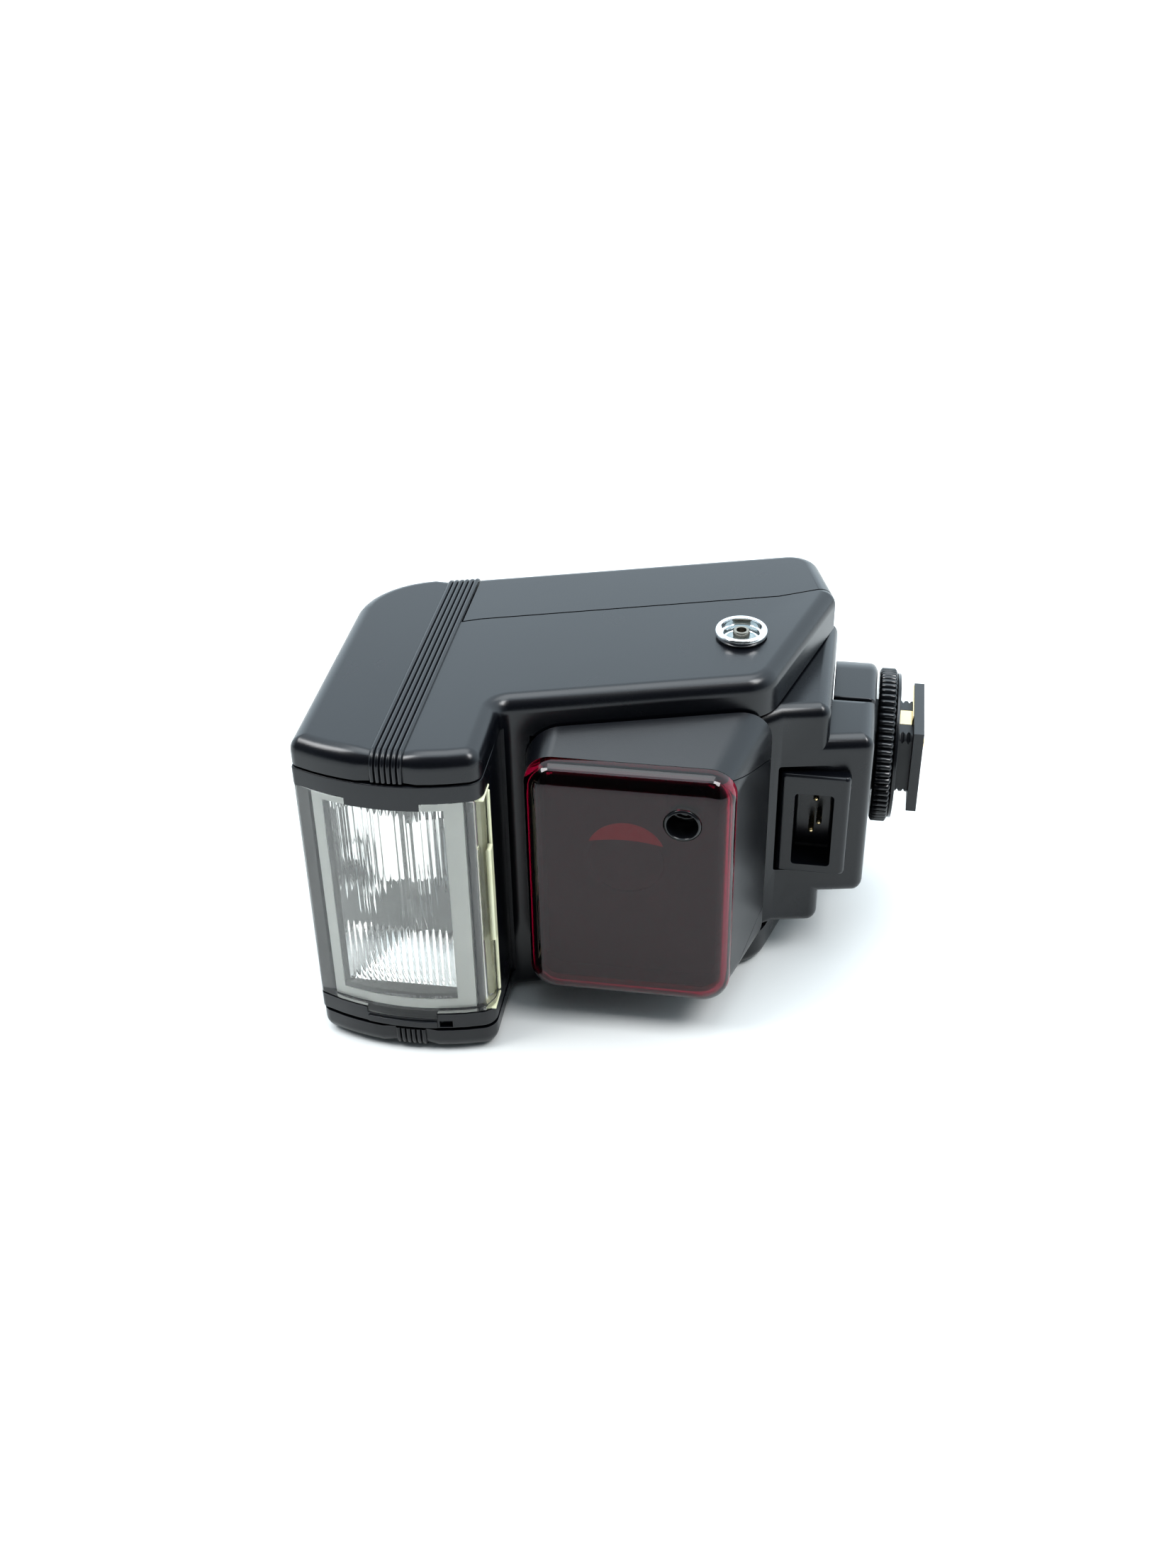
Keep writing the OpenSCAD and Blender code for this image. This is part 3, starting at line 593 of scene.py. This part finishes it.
shell = duplicate(housing, "main_shell_moulding")
cut(shell, rear_zone(0.0))
gap_half_w = CARRIAGE_HALF_W + 0.5
cut(shell, block("carriage_gap", (-gap_half_w, -80, 74), (gap_half_w, CARRIAGE_BACK_Y + 0.15, 120)))
cut(shell, lathe("socket_hole", rod(29, 40, 3.6), (0,) + SYNC, (1, 0, 0)))
soften(shell, 0.22)
piece(shell, "tilt_body", "main_shell")

rear = combine(housing, rear_zone(-SEAM_GAP), "INTERSECT")
rear.name = "rear_cover_moulding"
soften(rear, 0.22)
piece(rear, "tilt_body", "rear_cover")

# keeps the inside from showing through the slots of the sliders
liner = lean_block("slot_liner", (-24.5, BACK_D - 4.2, 45.5), (13, BACK_D - 3.9, 51), 0.1)
piece(liner, "tilt_body", slot="black_shell", material=INNER_BLACK)


# ---------------------------------------------------------------- zoom head
def head_skin(name, t0, t1, back_y, half_w, r=0.0):
    """A skin of the head between depths t0 and t1, open at the back."""
    front = [p for p in outline(HEAD, t0) if p[0] < back_y]
    behind = [p for p in outline(HEAD, t1) if p[0] < back_y]
    points = (
        [(back_y, HEAD_TOP_Z - t0)] + front + [(back_y, front[-1][1] + 0.02)]
        + [(back_y, behind[-1][1] + 0.02)] + behind[::-1] + [(back_y, HEAD_TOP_Z - t1)]
    )
    return prism(name, [p + (0,) for p in points], half_w, r, 2)


def bow_line(z0, z1, t, steps=16):
    """Points along the bowed head front from height z0 to z1, moved in by t."""
    heights = [z0 + (z1 - z0) * i / steps for i in range(steps + 1)]
    return [(bow_y(z, t), z) for z in heights]


def band(name, t0, t1, half_w, z0, z1, r=0.1, centre=0.0):
    """A curved strip that follows the bow of the head front, between depths t0 and t1."""
    points = bow_line(z1, z0, t0) + bow_line(z0, z1, t1)
    return prism(name, [p + (0,) for p in points], half_w, r, 2, centre)


def tongue(g, t0, t1):
    """The latch tongue of the clear cover, on its -X edge, grown by g."""
    centre = -CLEAR_HALF_W + 0.4 - g / 2
    return band("tongue", t0, t1, 1.6 + g / 2, TAB_Z[0] - g, TAB_Z[1] + g, 0, centre)


def tab_gap(g):
    """The place of the carriage tab that laps over the +X edge of the clear cover, shrunk by g."""
    return block("tab_gap", (CLEAR_HALF_W - TAB_W + g, -80, TAB_Z[0] + g), (40, -50, TAB_Z[1] - g))


def top_rim(name, g):
    """The black rim of the carriage behind the cover's thin top flange, shrunk by g."""
    return block(name, (-40, bow_y(108.5, 1.7) + g, 100), (40, -50, HEAD_TOP_Z - 0.6 - g))


def carriage():
    """The black frame that slides, with its seats for the cover and the border, its lever and its sleeve."""
    obj = prism("carriage_moulding", HEAD, CARRIAGE_HALF_W, 0.35, 2)
    seat = block("seat", (-CLEAR_HALF_W - 0.1, -80, 60), (CLEAR_HALF_W + 0.1, -56.7, 130))
    cut(seat, prism("seat_core", HEAD, 40, inside=2.25), tab_gap(0.05), top_rim("rim_top", 0.06))
    join(seat, tongue(0.1, -1.5, 2.2))
    cut(obj, seat)
    cut(obj, block("mouth", (-22.6, -80, 79.5), (22.6, -50, 107)))
    frame_seat = block("frame_seat", (-CLEAR_HALF_W, -80, 79.4), (CLEAR_HALF_W, -57, 107.2))
    cut(frame_seat, prism("frame_core", HEAD, 40, inside=3.7))
    tab_low = (CLEAR_HALF_W - TAB_W, -80, TAB_Z[0])
    cut(frame_seat, block("tab_keep", tab_low, (40, bow_y(AXIS_Z, 2), TAB_Z[1])))
    cut(obj, frame_seat)
    recess_z = (TAB_Z[0] - 2.8, TAB_Z[0] - 0.4)
    cut(obj, band("finger_recess", -1, 0.9, LEVER_HALF_W, *recess_z, 0, LEVER_X))
    join(obj, band("lever", -0.4, 0.6, LEVER_HALF_W, *TAB_Z, 0.15, LEVER_X))
    join(obj, block("sleeve", (-26.8, -47, 78.9), (26.8, -36, 106.7)))
    cut(obj, block("sleeve_bore", (-25.6, -58, 80.1), (25.6, -30, 105.5)))
    return obj


frame_piece = carriage()
soften(frame_piece, 0.16)
piece(frame_piece, "zoom_head", "carriage_frame")

cover = head_skin("clear_front_cover", *COVER_T, COVER_BACK_Y, CLEAR_HALF_W, 0.25)
cut(cover, tab_gap(0.0), top_rim("cover_top", 0.0))
join(cover, tongue(0.0, 0.1, 2.0))
soften(cover, 0.0)
piece(cover, "zoom_head", "clear_cover")

# the yellowed edge of the cover, its colour also made a bright white-yellow as painted light for the light
# that the clear edge carries: a bead along its back edges and a stop on its underside
bead_half_w = CLEAR_HALF_W - 1.2
bead_z = (UNDER_Z - 0.15, UNDER_Z + 2.0)
bead = block("cover_bead", (-bead_half_w, -57.6, bead_z[0]), (bead_half_w, -56.75, bead_z[1]), 0.3)
join(bead, block("stop", (-9, -60.0, UNDER_Z - 0.4), (12, -57.8, UNDER_Z + 1.2), 0.3))
for x in (-CLEAR_HALF_W + 0.25, CLEAR_HALF_W - 0.25):
    join(bead, block("side", (x - 0.24, -61.8, UNDER_Z - 0.1), (x + 0.24, -56.9, UNDER_Z + 2.0), 0.15))
soften(bead, 0.08)
piece(bead, "zoom_head", slot="clear_plastic", material=AGED_EDGE_PAINTED_LIGHT)

border = band("frosted_border", 2.3, 3.5, CLEAR_HALF_W - 0.2, 80, 106.6)
hole_low = (-LENS_HALF_W - 0.05, -70, LENS_Z[0] - 0.05)
hole_high = (LENS_HALF_W + 0.05, -55, LENS_Z[1] + 0.05)
cut(border, block("border_hole", hole_low, hole_high))
soften(border, 0.1)
piece(border, "zoom_head", "window_frame", material=FROSTED)


def ribbed_lens():
    """The front lens: smooth outside, rounded ribs along X inside."""
    z0, z1 = LENS_Z
    outer = bow_line(z1, z0, 2.4, 20)
    inner = []
    per_rib = 6
    for k in range(LENS_RIBS * per_rib + 1):
        z = z0 + (z1 - z0) * k / (LENS_RIBS * per_rib)
        bulge = abs(math.sin(math.pi * k / per_rib))
        inner.append((bow_y(z, 3.6) + LENS_RIB_H * bulge, z))
    return prism("ribbed_front_lens", [p + (0,) for p in outer + inner], LENS_HALF_W)


def mirror_ring(y, grow):
    """Section of the reflector at depth y, grown by the thickness of its sheet."""
    half_z = MIRROR_HALF_H * math.sqrt(1 - ((y - MIRROR_FRONT_Y) / MIRROR_DEPTH) ** 6) + grow
    if y <= MIRROR_STEP_Y:
        half_x = 21.1 - 0.62 * (y - MIRROR_FRONT_Y)
    else:
        half_x = 15.5 - 1.73 * (y - MIRROR_STEP_Y)
    corners = rect(-half_x - grow, half_x + grow, AXIS_Z - half_z, AXIS_Z + half_z, 0)
    return [(x, y + grow * 0.9, z) for x, z in outline(corners)]


def reflector():
    """A bathtub-shaped mirror with a rounded floor, its two ends flared in two steps."""
    depths = [MIRROR_FRONT_Y, -58.0, -56.5, -55.0, -53.0, -51.5, -50.0]
    depths += [-49.0, -48.0, -47.0, -46.2, -45.6, -45.2, -45.02]
    outside = [mirror_ring(y, 0.5) for y in reversed(depths)]
    inside = [mirror_ring(y, 0) for y in depths]
    return new_object("flared_reflector", *skin(outside + inside))


mirror = reflector()
shade_smooth(mirror.data, 22)
piece(mirror, "tilt_body", "flash_reflector")
lens = ribbed_lens()
soften(lens, 0.0)
piece(lens, "zoom_head", "front_lens", material=MATERIALS["clear_glass"])


# ---------------------------------------------------------------- focus-assist housing
def af_ring(t, k):
    """Section of the tapered housing, moved in by t: k = 0 at its front, 1 where it meets the hub."""
    front = outline(rect(-AF_HALF_W, AF_HALF_W, *AF_Z, 5), t)
    back = outline(rect(-AF_BACK_HALF_W, AF_BACK_HALF_W, *AF_BACK_W, 6.5), t)
    ring = []
    for (x0, z0), (x1, w1) in zip(front, back):
        y1, z1 = leaned(AF_BACK_D, w1)
        ring.append((x0 + (x1 - x0) * k, AF_FRONT_Y + (y1 - AF_FRONT_Y) * k, z0 + (z1 - z0) * k))
    return ring


def af_wedge(g):
    """The part of the housing that faces the foot, as a cutter grown by g."""
    plan = [(-24 - g, -50.5), (24 + g, -50.5), (15.5 + g, -28), (-15.5 - g, -28)]
    low = [(x, y, 20) for x, y in plan]
    high = [(x, y, 29.2 + g + (y + 28) * -0.285) for x, y in plan]
    return new_object("af_wedge", *skin([low, high]))


af_layers = [af_ring(0, 1), af_ring(0, 0), af_ring(AF_WALL, 0), af_ring(AF_WALL, 1)]
af_shell = new_object("af_housing_moulding", *skin(af_layers, loop=True))
af_lower = duplicate(af_shell, "af_lower_moulding")
cut(af_shell, af_wedge(0.15))
combine(af_lower, af_wedge(0.0), "INTERSECT")
for part, node in ((af_shell, "af_housing"), (af_lower, "af_lower_cover")):
    soften(part, 0.2)
    piece(part, "base", node, material=AF_BLACK)


def window_rings(t, depth, r, y0, steps=7):
    """Rings from the window's open back to its flat front, with a rounded edge of radius r."""
    rings = []
    for k in range(steps + 1):
        a = math.radians(90 * k / steps)
        step_in = t + r * (1 - math.cos(a))
        y = y0 - (depth - r) - r * math.sin(a)
        corner = 5 + 0.45 * step_in
        ring = outline(rect(-AF_HALF_W, AF_HALF_W, *AF_Z, corner), step_in)
        rings.append([(x, y, z) for x, z in ring])
    return rings


def red_window():
    """The window as a cap that is hollow at the back, with a hole for the sensor barrel."""
    y0 = AF_FRONT_Y - 0.1
    outer = window_rings(0, 4.8, 3.9, y0)
    outer.insert(0, [(x, y0, z) for x, y, z in outer[0]])
    inner = window_rings(1.5, 3.4, 2.4, y0)
    inner.insert(0, [(x, y0 + 1, z) for x, y, z in inner[0]])
    outside = new_object("red_window_moulding", *skin(outer))
    cut(outside, new_object("window_cavity", *skin(inner)))
    return cut(outside, turned("sensor_hole", rod(-60, -45, 3.45), SENSOR))


window = red_window()
soften(window, 0.0)
piece(window, "base", "red_window")

barrel_profile = [(-54.95, 3.0), (-54.7, 3.32), (-46.95, 3.32), (-46.95, 2.2)]
barrel_profile += [(-49.2, 2.2), (-49.4, 2.5), (-54.3, 2.6), (-54.95, 2.85)]
barrel = turned("sensor_barrel_turned", barrel_profile, SENSOR)
soften(barrel, 0.05)
piece(barrel, "base", "sensor_barrel", slot="gloss_black")
dome_turns = [math.radians(a) for a in range(10, 90, 16)]
dome_profile = [(-49.3, CORE_R), (-49.3, 2.45), (-50.3, 2.45)]
dome_profile += [(-50.3 - 1.3 * math.sin(a), 2.4 * math.cos(a)) for a in dome_turns]
dome_profile += [(-51.6, CORE_R)]
sensor_dome = turned("sensor_dome", dome_profile, SENSOR, 40)
soften(sensor_dome, 0.0)
piece(sensor_dome, "base", "sensor_lens", slot="clear_glass")
refined("af_mask", "base", 0.2, INNER_BLACK)


def disc(name, centre_x, r, y0, y1):
    """A disc that faces the front, at the height of the focus lens."""
    return turned(name, rod(y0, y1, r), (centre_x, AF_LENS[1]), 96)


af_body = disc("af_lens_body", AF_LENS[0], 6.9, -46.6, -45.2)
soften(af_body, 0.1)
piece(af_body, "base", "af_lens", material=INNER_BLACK)
# painted highlight: a red crescent that glows by its own emission stands for the light that the +X rim of the
# focus lens catches behind the dark window; the shade disc cuts away the unlit rest
lens_painted_highlight = disc("af_lens_painted_highlight", AF_LENS[0] + 1.6, 7.4, -47.3, -46.92)
cut(lens_painted_highlight, disc("shade", AF_LENS[0] - 22.7, 28, -50, -40))
soften(lens_painted_highlight, 0.1)
piece(lens_painted_highlight, "base", slot="red_plastic", material=GLOWING_RED_HIGHLIGHT)

# ---------------------------------------------------------------- hub and base
hub = prism("hub_moulding", HUB, HUB_HALF_W, 2.6, 6)
front_block = prism("front_block", BASE, BASE_HALF_W, 2.8, 6)
join(hub, front_block)
cut(hub, prism("hub_hollow", HUB, HUB_HALF_W - 2, inside=2.2))
cut(hub, lean_block("hub_window", (-20, -40, 12), (20, -28, 42)))
cut(hub, block("bezel_pocket", (-11.6, -40, 13.4), (12.9, -27.1, 27.1), 0.6))
pocket_low = (RECESS_X[0] - 1.4, -40, RECESS_Z[0] - 1.1)
pocket_high = (RECESS_X[1] + 1.4, -20, RECESS_Z[1] + 1.1)
cut(hub, block("socket_pocket", pocket_low, pocket_high))
soften(hub, 0.3)
piece(hub, "base", "hub_housing")

bezel = block("socket_bezel_moulding", (-11.5, -29.3, 13.45), (11.5, -26.2, 26.8), 1.1)
sleeve_low = (RECESS_X[0] - 1.2, -28, RECESS_Z[0] - 0.9)
sleeve_high = (RECESS_X[1] + 1.2, -21.5, RECESS_Z[1] + 0.9)
join(bezel, block("sleeve", sleeve_low, sleeve_high))
cut(bezel, block("recess", (RECESS_X[0], -40, RECESS_Z[0]), (RECESS_X[1], -23, RECESS_Z[1]), 0.9))
soften(bezel, 0.18)
piece(bezel, "base", "socket_bezel")

pin_profile = [(-27.0, CORE_R), (-26.95, 0.3), (-26.7, 0.5), (-26.4, 0.55), (-22, 0.55), (-22, CORE_R)]
pins = None
for place in SOCKET_PINS:
    pin = turned("socket_pin", pin_profile, place, 20)
    pins = join(pins, pin) if pins else pin
pins.name = "socket_pins_turned"
soften(pins, 0.0)
piece(pins, "base", "socket_pins")


def rear_base():
    """The block behind the foot's stem, with its lower edges rounded."""
    plan = [(-17.8, -11.05, 0.4), (17.8, -11.05, 0.4), (17.8, 9, 9.6), (-17.8, 9, 9.6)]
    turns = [math.radians(a) for a in (0, 18, 36, 54, 72, 90)]
    levels = [(HUB_Z - 0.15, 0.0)]
    levels += [(BASE_Z + 1.6 * (1 - math.sin(a)), 1.6 * (1 - math.cos(a))) for a in turns]
    rings = [[(x, y, z) for x, y in outline(plan, t)] for z, t in levels]
    return new_object("rear_base_moulding", *skin(rings))


back_block = rear_base()
cut(back_block, block("stem_gap", (-STEM_HALF_W, -STEM_HALF_W, 0), (STEM_HALF_W, STEM_HALF_W, 13)))
soften(back_block, 0.15)
piece(back_block, "base", "base_rear_cover")


# ---------------------------------------------------------------- foot, washer and lock ring
def knurled_ring():
    """Lock ring: rounded teeth round the rim, chamfered top and bottom."""
    points = KNURL * 8
    turns = [2 * math.pi * k / points for k in range(points)]
    levels = [(5.7, 0.75), (5.95, 0.25), (6.2, 0.0), (8.7, 0.0), (8.95, 0.25), (9.2, 0.75)]
    rings = []
    for z, step_in in levels:
        ring = []
        for a in turns:
            wave = 0.5 + 0.5 * math.cos(KNURL * a)
            r = RING_R - KNURL_DEPTH * (1 - wave ** 0.45) - step_in
            ring.append((r * math.cos(a), r * math.sin(a), z))
        rings.append(ring)
    for z, r in ((9.2, 9.5), (8.95, RING_BORE_R), (5.95, RING_BORE_R), (5.7, 9.5)):
        rings.append([(r * math.cos(a), r * math.sin(a), z) for a in turns])
    return new_object("lock_ring_knurled", *skin(rings, loop=True))


ring = knurled_ring()
shade_smooth(ring.data, 55)
piece(ring, "lock_ring", "lock_ring")
refined("clamp_washer", "clamp_washer", 0.12)
refined("shoe_foot", "base", 0.22)
refined("ground_spring", "base", 0.06)

# ---------------------------------------------------------------- sync socket
sync_place = (BODY_HALF_W,) + SYNC
sync_profile = [(-4.4, 3.0), (-4.4, 3.5), (-0.05, 3.5), (0.02, 4.75), (0.3, 4.88), (0.95, 4.86), (1.25, 4.6)]
sync_profile += [(1.32, 4.25), (1.2, 3.95), (0.75, 3.8), (-1.1, 3.7), (-1.3, 3.1), (-1.6, 3.02)]
sync = lathe("sync_ring_turned", sync_profile, sync_place, (1, 0, 0), 96)
soften(sync, 0.0)
piece(sync, "tilt_body", "sync_ring")
sleeve_profile = [(-4.4, CORE_R), (-4.4, 0.9), (-1.1, 0.9), (-1.0, 1.5), (0.6, 1.6)]
sleeve_profile += [(0.9, 1.4), (0.9, 0.95), (-0.4, 0.8), (-0.4, CORE_R)]
sync_sleeve = lathe("sync_pin_turned", sleeve_profile, sync_place, (1, 0, 0), 48)
soften(sync_sleeve, 0.0)
piece(sync_sleeve, "tilt_body", "sync_pin", material=WORN_NICKEL)

# ---------------------------------------------------------------- door, controls and inner parts
for node, body, width in (
    ("battery_door", "battery_door", 0.25), ("control_panel", "tilt_body", 0.15),
    ("power_switch", "power_switch", 0.18), ("mode_slider", "mode_slider", 0.18),
    ("film_speed_slider", "film_speed_slider", 0.18), ("test_button", "test_button", 0.3),
    ("ready_lamp", "tilt_body", 0.3), ("cover_screws", "tilt_body", 0.08), ("tilt_chassis", "tilt_body", 0.2),
    ("contact_pins", "foot_contacts", 0.25), ("tube_end_caps", "tilt_body", 0.2),
    ("reflector_bracket", "tilt_body", 0.15),
):
    refined(node, body, width)
for node in ("flash_tube", "sync_insulator"):
    shade_smooth(frame["nodes"][node].data, 35)


# ---------------------------------------------------------------- stage, light and camera
def stage_plane():
    """The pale surface that the flash lies on, seen only from above and open under the flash."""
    x = cad_box[0][0] / MM - 0.2
    hole = outline(HOUSING, 4)
    rings = [[(x, -20 + (y + 20) * k, 90 + (z - 90) * k) for y, z in hole] for k in (1, 8, 90)]
    n = len(hole)
    verts = [v for ring in rings for v in ring]
    faces = []
    for a in (0, n):
        faces += [(a + i, a + (i + 1) % n, a + n + (i + 1) % n, a + n + i) for i in range(n)]
    mesh = bpy.data.meshes.new("stage_surface")
    mesh.from_pydata([Vector(v) * MM for v in verts], [], faces)
    obj = bpy.data.objects.new("stage_surface", mesh)
    scene.collection.objects.link(obj)
    if mesh.polygons[0].normal.x < 0:
        mesh.flip_normals()
    material, tree, bsdf = shader("stage_paper", Roughness=0.6)
    tint(tree, bsdf, (0.6, 0.6, 0.59), (0.64, 0.64, 0.63), noise(tree, 60, 2))
    side = tree.nodes.new("ShaderNodeNewGeometry")
    gone = tree.nodes.new("ShaderNodeBsdfTransparent")
    mix = tree.nodes.new("ShaderNodeMixShader")
    tree.links.new(side.outputs["Backfacing"], mix.inputs[0])
    tree.links.new(bsdf.outputs[0], mix.inputs[1])
    tree.links.new(gone.outputs[0], mix.inputs[2])
    tree.links.new(mix.outputs[0], tree.nodes["Material Output"].inputs[0])
    dress(obj, material)


def dark_card():
    """A black card behind the viewer, seen only in reflections. Its corners are in metres."""
    corners = [(0.95, -0.32, -0.7), (0.0, -1.0, -0.7), (0.0, -1.0, 0.8), (0.95, -0.32, 0.8)]
    mesh = bpy.data.meshes.new("dark_card")
    mesh.from_pydata(corners, [], [(0, 1, 2, 3)])
    obj = bpy.data.objects.new("dark_card", mesh)
    scene.collection.objects.link(obj)
    obj.visible_camera = False
    obj.visible_diffuse = False
    obj.visible_shadow = False
    dress(obj, INNER_BLACK)


def softbox(name, place, target, size, power):
    """A square or oblong white lamp that faces its target, with places and sizes in metres."""
    light = bpy.data.lights.new(name, "AREA")
    light.shape = "RECTANGLE"
    light.size, light.size_y = size
    light.energy = power
    obj = bpy.data.objects.new(name, light)
    scene.collection.objects.link(obj)
    obj.location = place
    obj.rotation_euler = (Vector(target) - Vector(place)).to_track_quat("-Z", "Y").to_euler()


stage_plane()
dark_card()
CENTRE = (0, -0.025, 0.055)
softbox("lamp_left", (0.9, -0.25, 0.6), CENTRE, (0.4, 0.4), 6.5)
softbox("lamp_right", (0.9, -0.25, -0.5), CENTRE, (0.4, 0.4), 6.5)
softbox("ceiling", (1.3, 0.25, 0.05), CENTRE, (0.8, 0.9), 5)
ROOM_FRONT = 0.25
ROOM_WALL = 1.9
ROOM_CEILING = 2.7
ROOM_FLOOR = 1.5
BACKDROP = 1.2


def ramp(tree, source, low, high, dark, bright):
    """Brightness that goes smoothly from dark to bright while the source goes from low to high."""
    node = tree.nodes.new("ShaderNodeMapRange")
    node.interpolation_type = "SMOOTHSTEP"
    for name, value in (("From Min", low), ("From Max", high), ("To Min", dark), ("To Max", bright)):
        node.inputs[name].default_value = value
    tree.links.new(source, node.inputs["Value"])
    return node.outputs["Result"]


def room():
    """A room that is bright above and behind the flash and dark in front of it, over a pale floor.

    Above is +X here, as the flash lies on its side. The camera itself sees an even white backdrop.
    """
    world = bpy.data.worlds.new("room")
    scene.world = world
    world.use_nodes = True
    tree = world.node_tree
    coords = tree.nodes.new("ShaderNodeTexCoord")
    axes = tree.nodes.new("ShaderNodeSeparateXYZ")
    tree.links.new(coords.outputs["Generated"], axes.inputs[0])
    height, depth = axes.outputs["X"], axes.outputs["Y"]
    walls = ramp(tree, depth, -0.5, 0.35, ROOM_FRONT, ROOM_WALL)
    above = ramp(tree, height, 0.72, 0.97, 0.0, ROOM_CEILING)
    below = ramp(tree, height, -0.06, 0.0, ROOM_FLOOR, 0.0)
    brightest = walls
    for level in (above, below):
        larger = tree.nodes.new("ShaderNodeMath")
        larger.operation = "MAXIMUM"
        tree.links.new(brightest, larger.inputs[0])
        tree.links.new(level, larger.inputs[1])
        brightest = larger.outputs[0]
    background = tree.nodes["Background"]
    background.inputs["Color"].default_value = (0.8, 0.92, 1, 1)
    tree.links.new(brightest, background.inputs["Strength"])
    backdrop = tree.nodes.new("ShaderNodeBackground")
    backdrop.inputs["Strength"].default_value = BACKDROP
    backdrop.inputs["Color"].default_value = (1, 1, 1, 1)
    sight = tree.nodes.new("ShaderNodeLightPath")
    mix = tree.nodes.new("ShaderNodeMixShader")
    tree.links.new(sight.outputs["Is Camera Ray"], mix.inputs[0])
    tree.links.new(background.outputs[0], mix.inputs[1])
    tree.links.new(backdrop.outputs[0], mix.inputs[2])
    tree.links.new(mix.outputs[0], tree.nodes["World Output"].inputs["Surface"])


room()
scene.view_settings.view_transform = "Standard"
scene.view_settings.look = "Medium High Contrast"

EYE = Vector((0.20299, -0.29845, 0.01828))
FORWARD = Vector((-0.58587, 0.79934, 0.13348)).normalized()
RIGHT = Vector((-0.01476, 0.15415, -0.98794))
UP = RIGHT.cross(FORWARD).normalized()
RIGHT = FORWARD.cross(UP)
lens_data = bpy.data.cameras.new("camera")
lens_data.sensor_width = 36
lens_data.lens = 40.36
camera = bpy.data.objects.new("camera", lens_data)
scene.collection.objects.link(camera)
camera.matrix_world = Matrix((RIGHT, UP, -FORWARD)).transposed().to_4x4()
camera.location = EYE
scene.camera = camera

bpy.context.view_layer.update()
